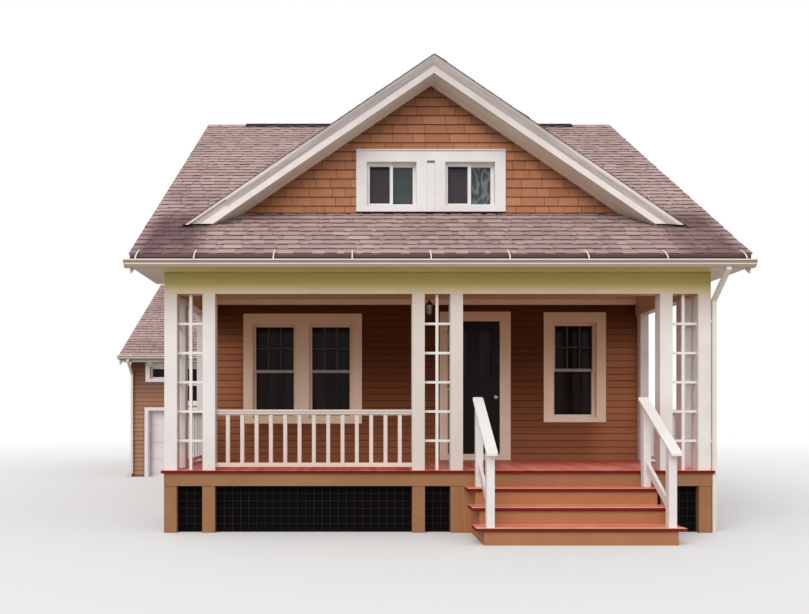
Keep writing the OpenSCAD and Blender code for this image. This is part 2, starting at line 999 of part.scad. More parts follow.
module porch_ceiling() {
    color("tan") {
        box([-half_w + post_w, post_back, ceiling_z], [half_w - post_w, 0, beam_top]);
        box([-half_w + post_w, -trim_t, ceiling_z - frieze_h], [half_w - post_w, 0, ceiling_z]);
    }
}

module porch_gables() {
    color("sienna")
        both_sides()
            along_x(inner_w, half_w)
                polygon([[post_front, beam_top], [0, beam_top], [0, roof_under(0)],
                    [post_front, roof_under(post_front)]]);
}

// Railing of a given length, drawn in X and Z
module railing(w) {
    n = floor((w - baluster_w) / baluster_pitch);
    low = porch_floor_z + bottom_gap;
    top = porch_floor_z + rail_top;
    translate([0, top - top_rail_h])
        square([w, top_rail_h]);
    translate([0, low])
        square([w, bottom_rail_h]);
    for (i = [0 : n - 1])
        translate([w / 2 + (i - (n - 1) / 2) * baluster_pitch - baluster_w / 2, low])
            square([baluster_w, top - low - top_rail_h + 1]);
}

module front_railing() {
    mid = (post_front + post_back) / 2;
    color("ivory")
        along_y(mid - rail_d / 2, mid + rail_d / 2)
            translate([-pair_x + post_w / 2, 0])
                railing(pair_x - centre_x - post_w);
}

module side_railings() {
    color("ivory")
        both_sides()
            along_x(corner_x - rail_d / 2, corner_x + rail_d / 2)
                translate([side_post_back, 0])
                    railing(-pilaster_d - side_post_back);
}

// Stairs
// Risers on three closed strings, a ledger board, and a board that closes the side to the pier
module stair_carriage() {
    left = string_left;
    right = string_right;
    color("peru") {
        for (i = [1 : tread_n])
            box([left, riser_y(i), (i - 1) * rise - (i > 1 ? board_t : 0)],
                [right, riser_y(i) + riser_t, i * rise - board_t]);
        for (x = [left, (left + right - string_t) / 2, right - string_t])
            along_x(x, x + string_t)
                stair_string();
        box([left, rim_front, tread_n * rise - board_t - ledger_h],
            [right, rim_front + riser_t, rim_under]);
        box([centre_x + post_w / 2, rim_front, 0],
            [left + string_t, rim_front + riser_t, rim_under]);
    }
}

module stair_string() {
    steps = [for (i = [1 : tread_n]) each [[riser_y(i), (i - 1) * rise - (i > 1 ? board_t : 0)],
        [riser_y(i), i * rise - board_t]]];
    polygon(concat(steps, [[rim_front, tread_n * rise - board_t], [rim_front, 0]]));
}

module stair_treads() {
    color("indianred")
        for (i = [1 : tread_n])
            box([stair_left, nose_y(i), i * rise - board_t],
                [stair_right, riser_y(i + 1), i * rise]);
}

// Newel of a handrail, cut to the slope of the cap
module newel(y, foot) {
    y0 = y - newel_w / 2;
    y1 = y + newel_w / 2;
    polygon([[y0, foot], [y1, foot], [y1, cap_z(y1) - cap_t], [y0, cap_z(y0) - cap_t]]);
}

// Upright slab with round corners, centred in X, between two places in Y
module rounded_plan(w, y0, y1, r, h) {
    linear_extrude(h) {
        translate([-w / 2 + r, y0])
            square([w - 2 * r, y1 - y0]);
        translate([-w / 2, y0 + r])
            square([w, y1 - y0 - 2 * r]);
        for (x = [r - w / 2, w / 2 - r], y = [y0 + r, y1 - r])
            translate([x, y])
                circle(r);
    }
}

// Cap on two newels, with a lower rail between them
module handrail(x) {
    low_y = nose_y(1) + newel_in + newel_w / 2;
    high_y = -porch_d - newel_w / 2;
    y0 = nose_y(1) - cap_out;
    y1 = post_front;
    drop = stair_rail_drop;
    translate([x, 0, 0])
        intersection() {
            along_x(-cap_w, cap_w)
                polygon([[y0, cap_z(y0) - cap_t], [y1, cap_z(y1) - cap_t],
                    [y1, cap_z(y1)], [y0, cap_z(y0)]]);
            rounded_plan(cap_w, y0, y1, cap_r, 2 * cap_z(y1));
        }
    along_x(x - newel_w / 2, x + newel_w / 2) {
        newel(low_y, rise);
        newel(high_y, tread_n * rise);
    }
    along_x(x - stair_rail_t / 2, x + stair_rail_t / 2)
        polygon([[low_y, cap_z(low_y) - drop - stair_rail_h],
            [high_y, cap_z(high_y) - drop - stair_rail_h],
            [high_y, cap_z(high_y) - drop], [low_y, cap_z(low_y) - drop]]);
}

module handrails() {
    color("ivory") {
        handrail(stair_left + handrail_left_in);
        handrail(stair_right - handrail_right_in);
    }
}

// Front door
module door_frame() {
    right = door_left + door_w;
    top = door_top_z + door_casing_head;
    color("ivory") {
        box([door_left - door_casing_left, -trim_t, porch_floor_z], [door_left, 0, top]);
        box([right, -trim_t, porch_floor_z], [right + door_casing_right, 0, top]);
        box([door_left, -trim_t, door_top_z], [right, 0, top]);
        box([door_left, -trim_t, porch_floor_z], [right, 0, house_floor_z]);
        box([door_left, 0, foundation_h], [right, wall_t, house_floor_z]);
        for (z = hinge_heights) {
            translate([hinge_x, hinge_y, z - knuckle_h])
                cylinder(r = knuckle_r, h = knuckle_h - knuckle_gap);
            box([hinge_x - 30, hinge_y + knuckle_r - 2, z - knuckle_h],
                [hinge_x - 2, -trim_t, z - knuckle_gap]);
        }
    }
}

module front_door() {
    left = door_left + door_gap;
    right = door_left + door_w - lock_gap;
    back = leaf_front + door_t;
    mid = (left + right) / 2;
    color("black") {
        difference() {
            box([left, leaf_front, house_floor_z + door_gap],
                [right, back, door_top_z - door_gap]);
            for (x = [mid - light_out, mid + light_out])
                box([x - light_w / 2, leaf_front - 1, light_low],
                    [x + light_w / 2, back + 1, light_high]);
        }
        for (z = hinge_heights) {
            translate([hinge_x, hinge_y, z + knuckle_gap])
                cylinder(r = knuckle_r, h = knuckle_h);
            box([hinge_x + 2, hinge_y + knuckle_r - 3, z + knuckle_gap],
                [left + 30, leaf_front, z + knuckle_h]);
        }
    }
}

module door_glass() {
    mid = door_left + (door_gap + door_w - lock_gap) / 2;
    y = leaf_front + door_t / 2 - pane_t / 2;
    color("lightblue")
        for (x = [mid - light_out, mid + light_out])
            box([x - light_w / 2, y, light_low], [x + light_w / 2, y + pane_t, light_high]);
}

module door_knob() {
    color("silver")
        translate([door_left + door_w - lock_gap - knob_in, leaf_front, house_floor_z + knob_h])
            rotate([90, 0, 0])
                rotate_extrude()
                    polygon([[0, 0], [28, 0], [28, 6], [11, 9], [10, 28], [20, 34],
                        [26, 44], [24, 54], [14, 61], [0, 62]]);
}

// Windows
module front_windows() {
    color("ivory")
        hung_windows(front_openings);
}

module side_windows() {
    color("ivory") {
        face_left(half_w) {
            hung_windows(left_openings);
            hung_windows(upper_openings);
        }
        face_right(half_w) {
            hung_windows(right_openings);
            hung_windows(upper_openings);
        }
    }
}

module rear_windows() {
    color("ivory")
        face_rear(house_d)
            hung_windows(rear_openings);
}

module window_glass() {
    color("lightblue") {
        panes(front_openings);
        face_left(half_w)
            panes(left_openings);
        face_right(half_w)
            panes(right_openings);
        face_rear(house_d)
            panes(rear_openings);
        translate([0, wing_front, 0])
            panes(wing_front_openings);
        face_left(wing_left)
            panes(wing_left_openings);
        face_rear(wing_rear)
            panes(wing_rear_openings);
    }
}

module upper_glass() {
    color("lightblue") {
        translate([0, gable_wall_front, 0])
            panes(gable_openings);
        face_left(half_w)
            panes(upper_openings);
        face_right(half_w)
            panes(upper_openings);
    }
}

// Gutters and downspouts
// Outline of a gutter with a flat back and a moulded front, its back at zero and its rim at zero
module gutter_outline() {
    t = gutter_t;
    d = gutter_d;
    h = gutter_h;
    difference() {
        polygon([[0, 0], [0, -h], [-0.62 * d, -h], [-0.82 * d, -0.64 * h],
            [-0.82 * d, -0.48 * h], [-d, -0.2 * h], [-d, 0]]);
        polygon([[-t, 1], [-t, t - h], [t - 0.62 * d - t / 2, t - h],
            [t - 0.82 * d, -0.64 * h + t / 2], [t - 0.82 * d, -0.48 * h + t / 2],
            [t - d, -0.2 * h + t / 2], [t - d, 1]]);
    }
}

module gutter(x0, x1) {
    along_x(x0, x1)
        gutter_outline();
    for (x = [x0, x1 - gutter_t])
        along_x(x, x + gutter_t)
            hull()
                gutter_outline();
}

module gutters() {
    color("white") {
        translate([0, roof_front, eave_z - gutter_drop])
            gutter(-roof_half_w - gutter_left_out, roof_half_w + gutter_end_out);
        translate([0, roof_rear, eave_z - gutter_drop])
            mirror([0, 1, 0])
                gutter(wing_roof_right + 2 * gutter_joint, roof_half_w + gutter_end_out);
        translate([0, wing_front - wing_eave_out, wing_eave_z - wing_gutter_drop])
            gutter(wing_roof_left - wing_gutter_out, -roof_half_w - gutter_joint);
        translate([0, wing_rear + wing_eave_out, wing_eave_z - wing_gutter_drop])
            mirror([0, 1, 0])
                gutter(wing_roof_left - wing_gutter_out, wing_roof_right + wing_gutter_out);
    }
}

// Straight length of downspout between two centres of its section
module spout_run(a, b) {
    hull()
        for (p = [a, b])
            translate(p - [spout_w / 2, spout_d / 2, 0])
                cube([spout_w, spout_d, 1]);
}

// Straight upright length of downspout
module spout_drop(x, y, z0, z1) {
    box([x - spout_w / 2, y - spout_d / 2, z0], [x + spout_w / 2, y + spout_d / 2, z1]);
}

// Downspout from the bottom of a gutter, under the soffit to the wall and down to its foot
module downspout(x, outlet_y, top_z, under_z, wall_y, foot_z) {
    elbow_z = min(top_z - outlet_h, under_z - elbow_gap);
    bend_z = elbow_z - abs(wall_y - outlet_y) * elbow_slope;
    spout_drop(x, outlet_y, elbow_z - 1, top_z);
    spout_run([x, outlet_y, elbow_z - 1], [x, wall_y, bend_z]);
    spout_drop(x, wall_y, foot_z, bend_z + 1);
}

// Kicked-out foot of a downspout on the wing
module spout_shoe(x, y) {
    spout_run([x, y, shoe_h], [x - shoe_out, y, 0]);
}

module downspouts() {
    main_bottom = eave_z - gutter_drop - gutter_h;
    wing_bottom = wing_eave_z - wing_gutter_drop - gutter_h;
    off = spout_d / 2 + spout_gap;
    rear_x = half_w - rear_spout_in;
    wing_x = -wing_left + spout_w / 2;
    half_strap = spout_strap / 2;
    color("white") {
        downspout(spout_x, roof_front - gutter_d / 2, main_bottom, soffit_z, spout_y, 0);
        for (z = [porch_floor_z + strap_in, beam_z - strap_in])
            box([half_w, spout_y - half_strap, z], [spout_x, spout_y + half_strap,
                z + spout_strap]);
        downspout(rear_x, roof_rear + gutter_d / 2, main_bottom, soffit_z, house_d + off, 0);
        box([rear_x - half_strap, house_d, strap_z], [rear_x + half_strap, house_d + off,
            strap_z + spout_strap]);
        downspout(wing_x, wing_front - wing_eave_out - gutter_d / 2, wing_bottom,
            wing_soffit_z, wing_front - off, shoe_h - 1);
        spout_shoe(wing_x, wing_front - off);
        box([wing_x - half_strap, wing_front - off, strap_z],
            [wing_x + half_strap, wing_front, strap_z + spout_strap]);
        downspout(wing_x, wing_rear + wing_eave_out + gutter_d / 2, wing_bottom,
            wing_soffit_z, wing_rear + off, shoe_h - 1);
        spout_shoe(wing_x, wing_rear + off);
        box([wing_x - half_strap, wing_rear, strap_z],
            [wing_x + half_strap, wing_rear + off, strap_z + spout_strap]);
    }
}

// Wall lantern: a cage of six bars on a foot, under a pointed cap
module porch_light() {
    plate_w = 90;
    plate_h = 150;
    plate_t = 14;
    arm = 16;
    color("black")
        translate([light_x, 0, light_z]) {
            box([-plate_w / 2, -plate_t, -arm], [plate_w / 2, 0, plate_h - arm]);
            box([-arm / 2, -light_reach, -arm], [arm / 2, -plate_t, 0]);
            translate([0, -light_reach, 0]) {
                cylinder(r = light_low_r, h = light_foot_h);
                for (a = [0 : 60 : 300])
                    rotate([0, 0, a])
                        along_y(-light_bar / 2, light_bar / 2)
                            polygon([[light_low_r - light_bar, 0], [light_low_r, 0],
                                [light_top_r, light_foot_h + light_glass_h],
                                [light_top_r - light_bar, light_foot_h + light_glass_h]]);
                translate([0, 0, light_foot_h + light_glass_h])
                    lantern_cap();
            }
        }
}

module lantern_cap() {
    rotate_extrude()
        polygon([[0, 0], [light_top_r + 6, 0], [light_top_r + 6, 6], [24, 42], [14, 58],
            [8, 62], [8, 74], [12, 80], [0, light_cap_h]]);
}

module lantern_glass() {
    in = light_bar + 2;
    color("wheat")
        translate([light_x, -light_reach, light_z + light_foot_h])
            cylinder(r1 = light_low_r - in, r2 = light_top_r - in, h = light_glass_h);
}

// Wing
// Everything under the top of the wing roof
module wing_body() {
    along_x(wing_roof_left, wing_roof_right)
        polygon([[wing_front - wing_eave_out, wing_eave_z], [wing_ridge_y, wing_ridge_z],
            [wing_rear + wing_eave_out, wing_eave_z], [wing_rear + wing_eave_out, 0],
            [wing_front - wing_eave_out, 0]]);
}

module wing_floor() {
    left = -wing_left + wall_t;
    front = wing_front + wall_t;
    color("darkgray")
        difference() {
            box([left, front, 0], [-wing_right - wall_t, wing_rear - wall_t, wing_floor_t]);
            box([-half_w, 0, -1], [half_w, house_d, wing_floor_t + 1]);
            box([wing_door_x - wing_panel_lap, front - 1, -1],
                [wing_door_x + wing_door_w + wing_panel_lap, front + wing_panel_t,
                    wing_floor_t + 1]);
        }
}

module wing_front_wall() {
    back = wing_front + wall_t;
    color("sienna")
        difference() {
            along_x(-wing_left + wall_t, -half_w)
                polygon([[wing_front, 0], [back, 0], [back, wing_under(back)],
                    [wing_front, wing_under(wing_front)]]);
            translate([wing_door_x, wing_front - 1, -1])
                cube([wing_door_w, wall_t + 2, wing_door_h + 1]);
            translate([0, wing_front, 0])
                window_holes(wing_front_openings);
        }
}

module wing_left_wall() {
    color("sienna")
        difference() {
            along_x(-wing_left, -wing_left + wall_t)
                polygon([[wing_front, 0], [wing_rear, 0], [wing_rear, wing_under(wing_rear)],
                    [wing_ridge_y, wing_ridge_z - wing_roof_t],
                    [wing_front, wing_under(wing_front)]]);
            face_left(wing_left)
                window_holes(wing_left_openings);
        }
}

module wing_right_wall() {
    color("sienna")
        along_x(-wing_right - wall_t, -wing_right)
            polygon([[house_d, 0], [wing_rear, 0], [wing_rear, wing_under(wing_rear)],
                [wing_ridge_y, wing_ridge_z - wing_roof_t], [house_d, wing_under(house_d)]]);
}

module wing_rear_wall() {
    inside = wing_rear - wall_t;
    color("sienna")
        difference() {
            along_x(-wing_left + wall_t, -wing_right - wall_t)
                polygon([[inside, 0], [wing_rear, 0], [wing_rear, wing_under(wing_rear)],
                    [inside, wing_under(inside)]]);
            face_rear(wing_rear)
                window_holes(wing_rear_openings);
        }
}

module wing_roof_outline(drop, depth) {
    front = wing_front - wing_eave_out;
    rear = wing_rear + wing_eave_out;
    polygon([[front, wing_z(front) - drop], [wing_ridge_y, wing_ridge_z - drop],
        [rear, wing_z(rear) - drop], [rear, wing_z(rear) - drop - depth],
        [wing_ridge_y, wing_ridge_z - drop - depth], [front, wing_z(front) - drop - depth]]);
}

// House body and main roof, to which the wing is fitted
module house_block() {
    box([-half_w, 0, -1], [half_w, house_d, ridge_z]);
    along_x(-roof_half_w, roof_half_w)
        polygon([[ridge_y, ridge_z - roof_t], [house_d, roof_under(house_d)],
            [house_d, roof_z(house_d)], [ridge_y, ridge_z]]);
}

module wing_roof() {
    color("rosybrown")
        difference() {
            along_x(wing_roof_left, wing_roof_right)
                wing_roof_outline(0, wing_roof_t);
            house_block();
        }
}

module wing_rake_boards() {
    color("ivory")
        difference() {
            for (x = [wing_roof_left, wing_roof_right - trim_t])
                along_x(x, x + trim_t)
                    wing_roof_outline(wing_roof_t, rake_board_h);
            house_block();
        }
}

// Fascia and level soffit at an eave of the wing
module wing_eave_outline(face, wall) {
    low = wing_soffit_z;
    back = face + trim_t * sign(wall - face);
    polygon([[face, low], [wall, low], [wall, low + soffit_t],
        [back, low + soffit_t], [back, wing_under(back)], [face, wing_under(face)]]);
}

module wing_eave_trim() {
    color("ivory") {
        along_x(wing_roof_left + trim_t, -half_w)
            wing_eave_outline(wing_front - wing_eave_out, wing_front);
        along_x(wing_roof_left + trim_t, wing_roof_right - trim_t)
            wing_eave_outline(wing_rear + wing_eave_out, wing_rear);
    }
}

// Overhead door of level sections behind its opening, with casing and jambs
module wing_door() {
    w = wing_door_w;
    h = wing_door_h;
    groove = 12;
    section = (h + wing_panel_lap) / wing_door_n;
    color("white")
        translate([wing_door_x, wing_front, 0]) {
            difference() {
                box([-wing_door_casing, -trim_t, 0],
                    [w + wing_door_casing, 0, h + wing_door_head]);
                box([0, -trim_t - 1, -1], [w, 1, h]);
            }
            difference() {
                box([0, -1, 0], [w, wall_t, h]);
                box([jamb_t, -2, -1], [w - jamb_t, wall_t + 1, h - jamb_t]);
            }
            difference() {
                box([-wing_panel_lap, wall_t, 0],
                    [w + wing_panel_lap, wall_t + wing_panel_t, h + wing_panel_lap]);
                for (i = [1 : wing_door_n - 1])
                    box([jamb_t, wall_t - 1, i * section - groove / 2],
                        [w - jamb_t, wall_t + groove, i * section + groove / 2]);
            }
        }
}

module wing_windows() {
    color("ivory") {
        translate([0, wing_front, 0])
            for (o = wing_front_openings)
                translate([o[0], 0, o[1]]) {
                    window_casing(o[2], o[3], wing_casing_w, wing_casing_w, sill_h);
                    if (o[3] > o[2])
                        hung_sashes(o[2], o[3]);
                    else
                        fixed_sash(o[2], o[3]);
                }
        face_left(wing_left)
            hung_windows(wing_left_openings);
        face_rear(wing_rear)
            hung_windows(wing_rear_openings);
    }
}

foundation();
house_floor();
front_wall_left();
front_wall_right();
front_wall_over_door();
left_wall();
right_wall();
rear_wall();
upper_floor();
main_roof_front();
main_roof_rear();
ridge_vent();
left_rake_trim();
right_rake_trim();
front_eave_trim();
rear_eave_trim();
gable_wall();
gable_roof();
gable_barge_boards();
gable_soffit();
gable_window();
porch_floor();
porch_rim();
porch_piers();
porch_grids();
porch_posts();
porch_lattices();
porch_beams();
porch_ceiling();
porch_gables();
front_railing();
side_railings();
stair_carriage();
stair_treads();
handrails();
door_frame();
front_door();
door_glass();
door_knob();
front_windows();
side_windows();
rear_windows();
window_glass();
upper_glass();
gutters();
downspouts();
porch_light();
lantern_glass();
wing_floor();
wing_front_wall();
wing_left_wall();
wing_right_wall();
wing_rear_wall();
wing_roof();
wing_rake_boards();
wing_eave_trim();
wing_door();
wing_windows();
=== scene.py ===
import json
import math
import random

import bmesh
import bpy
from mathutils import Matrix, Vector


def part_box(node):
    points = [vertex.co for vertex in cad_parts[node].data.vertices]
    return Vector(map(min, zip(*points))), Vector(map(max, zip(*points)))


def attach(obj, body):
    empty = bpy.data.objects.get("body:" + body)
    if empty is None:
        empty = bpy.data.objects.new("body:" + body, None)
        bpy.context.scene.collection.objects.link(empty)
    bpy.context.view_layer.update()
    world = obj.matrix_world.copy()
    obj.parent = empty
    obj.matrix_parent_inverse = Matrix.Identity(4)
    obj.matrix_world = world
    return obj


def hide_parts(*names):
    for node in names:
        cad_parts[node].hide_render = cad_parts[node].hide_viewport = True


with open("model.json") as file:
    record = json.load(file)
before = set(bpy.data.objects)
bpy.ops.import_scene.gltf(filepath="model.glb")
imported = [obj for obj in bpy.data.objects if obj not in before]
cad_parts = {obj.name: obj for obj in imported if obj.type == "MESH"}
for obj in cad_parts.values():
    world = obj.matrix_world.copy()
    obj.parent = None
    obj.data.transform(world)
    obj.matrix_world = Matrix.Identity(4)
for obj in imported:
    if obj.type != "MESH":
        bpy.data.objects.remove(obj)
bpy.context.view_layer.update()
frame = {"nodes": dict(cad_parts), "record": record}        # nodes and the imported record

nodes = frame["nodes"]
print("frame loaded:", len(nodes), "nodes")


# Node trees: Wire is a socket that takes part in sums, where | takes the larger value, and Graph
# makes every node
class Wire:
    def __init__(self, graph, socket):
        self.graph = graph
        self.socket = socket

    def out(self, name):
        return Wire(self.graph, self.socket.node.outputs[name])

    def maths(self, operation, other=0.0, swapped=False):
        pair = [other, self] if swapped else [self, other]
        return self.graph.add("ShaderNodeMath", {"operation": operation}, dict(enumerate(pair)))

    def __add__(self, other):
        return self.maths("ADD", other)

    def __radd__(self, other):
        return self.maths("ADD", other, True)

    def __sub__(self, other):
        return self.maths("SUBTRACT", other)

    def __rsub__(self, other):
        return self.maths("SUBTRACT", other, True)

    def __mul__(self, other):
        return self.maths("MULTIPLY", other)

    def __rmul__(self, other):
        return self.maths("MULTIPLY", other, True)

    def __truediv__(self, other):
        return self.maths("DIVIDE", other)

    def __gt__(self, other):
        return self.maths("GREATER_THAN", other)

    def __lt__(self, other):
        return self.maths("LESS_THAN", other)

    def __or__(self, other):
        return self.maths("MAXIMUM", other)


class Graph:
    def __init__(self, tree):
        self.tree = tree
        tree.nodes.clear()

    def add(self, kind, settings=None, sockets=None, out=0):
        node = self.tree.nodes.new(kind)
        for name, value in (settings or {}).items():
            setattr(node, name, value)
        for name, value in (sockets or {}).items():
            if isinstance(value, Wire):
                self.tree.links.new(value.socket, node.inputs[name])
            else:
                node.inputs[name].default_value = value
        return Wire(self, node.outputs[out]) if len(node.outputs) else node

    def split(self, vector):
        parts = self.add("ShaderNodeSeparateXYZ", sockets={0: vector})
        return parts, parts.out("Y"), parts.out("Z")

    def vector(self, x=0.0, y=0.0, z=0.0):
        return self.add("ShaderNodeCombineXYZ", sockets={0: x, 1: y, 2: z})


def grey(value):
    return (value, value, value, 1.0)


def rgb(red, green, blue):
    # a colour as seen on screen, 0 to 255, as the linear values that shaders take
    linear = [((c / 255 + 0.055) / 1.055) ** 2.4 if c > 10 else c / 255 / 12.92
              for c in (red, green, blue)]
    return (*linear, 1.0)


class Paint(Graph):
    def __init__(self, name):
        self.material = bpy.data.materials.new(name)
        self.material.use_nodes = True
        super().__init__(self.material.node_tree)
        self.place = self.add("ShaderNodeTexCoord", out="Object")
        self.x, self.y, self.z = self.split(self.place)

    def aside(self):
        return self.x.maths("ABSOLUTE")

    def facing(self):
        return self.split(self.add("ShaderNodeNewGeometry", out="Normal"))

    def noise(self, scale, detail=3.0, rough=0.55, stretch=(1, 1, 1), place=None):
        place = place or self.add("ShaderNodeMapping", sockets={
            "Vector": self.place, "Scale": stretch})
        return self.add("ShaderNodeTexNoise", sockets={
            "Vector": place, "Scale": scale, "Detail": detail, "Roughness": rough})

    # Levels run from one value to another, and say what comes out at each
    def level(self, value, start, end, first=0.0, last=1.0):
        return self.add("ShaderNodeMapRange", {"interpolation_type": "SMOOTHSTEP"}, {
            "Value": value, "From Min": start, "From Max": end, "To Min": first, "To Max": last})

    def ramp(self, value, stops):
        ramp = self.add("ShaderNodeValToRGB", sockets={0: value})
        elements = ramp.socket.node.color_ramp.elements
        while len(elements) < len(stops):
            elements.new(1.0)
        for element, (position, color) in zip(elements, stops):
            element.position = position
            element.color = color
        return ramp

    def mix(self, factor, first, second):
        return self.add("ShaderNodeMix", {"data_type": "RGBA"}, {
            0: factor, 6: first, 7: second}, out=2)

    def blotched(self, color, tint, noise, levels):
        return self.mix(self.level(self.noise(*noise), *levels), color, tint)

    def own(self, name):
        return self.add("ShaderNodeAttribute", {"attribute_name": name}, out="Fac")

    # How far a place lies below the slopes of the gable
    def depth(self, look):
        return look["peak"] - look["slope"] * self.aside() - self.z

    # Painted shade, warmer and darker high up under a porch, an eave or a gable's peak
    def sheltered(self, color, look):
        if "shelter" not in look:
            return color
        levels, tint = look["shelter"]
        factor = self.level(self.z, *levels)
        if "open" in look:       # less so at the open ends
            factor = factor * self.level(self.aside(), *look["open"])
            factor = factor | self.level(self.z, *look["top"])
        return self.mix(factor, color, tint)

    def finish(self, color, rough, bumps=(), fixed=None):
        normal = {}
        for height, strength, distance in bumps:
            normal = {"Normal": self.add("ShaderNodeBump", sockets={
                "Height": height, "Strength": strength, "Distance": distance, **normal})}
        shader = self.add("ShaderNodeBsdfPrincipled", sockets={
            "Base Color": color, "Roughness": rough, **(fixed or {}), **normal})
        self.add("ShaderNodeOutputMaterial", sockets={"Surface": shader})
        return self.material


# Materials, one function for each finish. Courses of boards and of wall shingles come first
boardLook = {
    "dark": rgb(126, 78, 54), "light": rgb(160, 106, 76), "chalk": rgb(168, 118, 88),
    "shadow": rgb(40, 18, 10), "line": 0.85, "grain": (9.0, 4.0, 0.6, (1.4, 1.4, 38.0)),
    "patches": (0.55, 3.0, 0.6), "shares": (0.4, 0.45, 0.15), "worn": (3.2, 5.0, 0.7, (1, 1, 5)),
    "wear": (0.56, 0.72, 0.0, 0.18), "under": (0.68, 0.79), "rough": (0.52, 0.72),
    "bump": (0.25, 0.004), "fine": (0.12, 0.001), "shine": 0.4}
# The porch front's copy of the siding paint: brighter as painted light, with painted shade high up under
# the porch roof, less at the open ends
porchBoardLook = {
    **boardLook, "dark": rgb(150, 94, 62), "light": rgb(178, 118, 82), "shine": 0.12, "line": 0.62,
    "shadow": rgb(36, 15, 6), "shelter": ((-0.2, 2.6, 0.0, 0.97), rgb(80, 38, 8)),
    "open": (2.4, 2.85, 1.0, 0.0), "top": (2.3, 3.0, 0.0, 0.97)}
# The wing front's copy of the siding paint: brighter as painted light, with painted shade high up under
# its eave
wingBoardLook = {
    **boardLook, "dark": rgb(158, 110, 82), "light": rgb(198, 147, 112),
    "chalk": rgb(204, 158, 122), "shelter": ((1.3, 2.5, 0.0, 1.0), rgb(113, 64, 42))}
# Gable shingles: painted shade near the peak and along the soffit
shingleLook = {
    "dark": rgb(166, 106, 70), "light": rgb(194, 130, 90), "chalk": rgb(204, 148, 108),
    "shadow": rgb(70, 34, 16), "line": 0.85, "grain": (6.0, 5.0, 0.65, (34.0, 34.0, 1.2)),
    "patches": (2.2, 3.0, 0.6), "shares": (0.4, 0.3, 0.3), "worn": (9.0, 4.0, 0.7, (1, 1, 0.4)),
    "wear": (0.58, 0.75, 0.0, 0.2), "under": (0.66, 0.77), "rough": (0.62, 0.85),
    "bump": (0.5, 0.006), "shine": 0.5, "shelter": ((4.6, 6.1, 0.0, 0.35), rgb(112, 68, 40)),
    "peak": 5.866, "slope": 0.682, "eave": (0.0, 0.22, 0.5, 0.0), "shade": rgb(66, 38, 20)}


def coursePaint(name, look):
    paint = Paint(name)
    grain = paint.noise(*look["grain"])
    parts = (grain, paint.noise(*look["patches"]), paint.own("tone"))
    first, second, third = [part * share for part, share in zip(parts, look["shares"])]
    color = paint.mix(paint.level(first + second + third, 0.25, 0.85), look["dark"], look["light"])
    color = paint.blotched(color, look["chalk"], look["worn"], look["wear"])
    color = paint.sheltered(color, look)
    if "eave" in look:         # painted shade along the soffit
        color = paint.mix(paint.level(paint.depth(look), *look["eave"]), color, look["shade"])
    under = paint.level(paint.own("up"), *look["under"], 0.0, look["line"])  # painted shade below the next course
    butt = paint.facing()[2] < -0.5                          # painted shade on the lower edge
    color = paint.mix(under | butt, color, look["shadow"])
    bumps = [(grain, *look["bump"])]
    if "fine" in look:
        bumps.append((paint.noise(120.0), *look["fine"]))
    return paint.finish(color, paint.level(grain, 0.2, 0.8, *look["rough"]), bumps,
                        {"Specular IOR Level": look["shine"]})


roofLook = {
    "colors": [(0.0, rgb(148, 120, 117)), (0.35, rgb(170, 143, 138)), (0.65, rgb(185, 158, 152)),
               (1.0, rgb(206, 183, 176))],
    "line": 0.9, "shadow": rgb(78, 55, 55), "stain": rgb(96, 66, 70),
    "stainX": (2.75, 3.1), "stainEnd": (3.74, 3.5, 0.3), "stainY": (-0.9, -1.5)}


def roofGranules(name, look):
    paint = Paint(name)
    up = paint.own("up")
    speck = paint.noise(75.0, 3.0, 0.75)
    patches = paint.noise(0.5, 4.0, 0.6)
    streaks = paint.noise(0.9, 3.0, 0.6, (2.2, 0.35, 0.35))
    mixer = paint.own("tone") * 0.2 + patches * 0.3 + streaks * 0.24 + speck * 0.3
    color = paint.ramp(paint.level(mixer, 0.2, 0.85), look["colors"])
    aside = paint.aside()
    outer = paint.level(aside, *look["stainX"]) * paint.level(aside, *look["stainEnd"])
    drained = outer * paint.level(paint.y, *look["stainY"])          # where the gable roof drains
    drained = drained * paint.level(paint.noise(1.3, 4.0, 0.6), 0.3, 0.6, 0.6, 0.95)
    soot = paint.level(paint.noise(0.42, 4.0, 0.6, (1.0, 1.6, 1.6)), 0.56, 0.72, 0.0, 0.35)
    color = paint.mix(soot | drained, color, look["stain"])
    cells = paint.add("ShaderNodeTexVoronoi", sockets={"Vector": paint.place, "Scale": 420.0})
    grains = paint.level(cells, 0.1, 0.6)
    color = paint.mix(grains * 0.14, color, look["shadow"])
    # Painted shade below the next course, over the printed shadow band of laminated shingles
    under = paint.level(up, 0.58, 0.8, 0.0, look["line"])
    ny, nz = paint.facing()[1:]
    edge = ((up < 0.001) * (nz < 0.3)) | (ny < -0.9)        # painted shade on butts and on the ends at the gable
    color = paint.mix(under | (edge * 0.8), color, look["shadow"])
    return paint.finish(color, 0.92, [(speck, 0.5, 0.004), (grains, 0.3, 0.002)])


def shades(clean, dull, dirt, **more):
    return {"clean": rgb(*clean), "dull": rgb(*dull), "dirt": rgb(*dirt), **more}


trimLook = shades((232, 228, 225), (222, 216, 212), (176, 164, 152))
# Eaves: painted shade on their undersides, olive under the front eave as painted shade and a painted
# reflection of green
eaveLook = {**trimLook, "below": rgb(206, 182, 162)}
frontEaveLook = {**trimLook, "below": rgb(212, 199, 128)}
enamelLook = shades((228, 219, 207), (220, 210, 197), (170, 154, 134))
# The gutter: painted shade on sides that lean down and in a narrow band near its top
gutterLook = shades((224, 211, 200), (215, 201, 188), (170, 154, 134), lean=rgb(178, 157, 138),
                    bands=[(3.275, 3.286, rgb(138, 118, 100))])
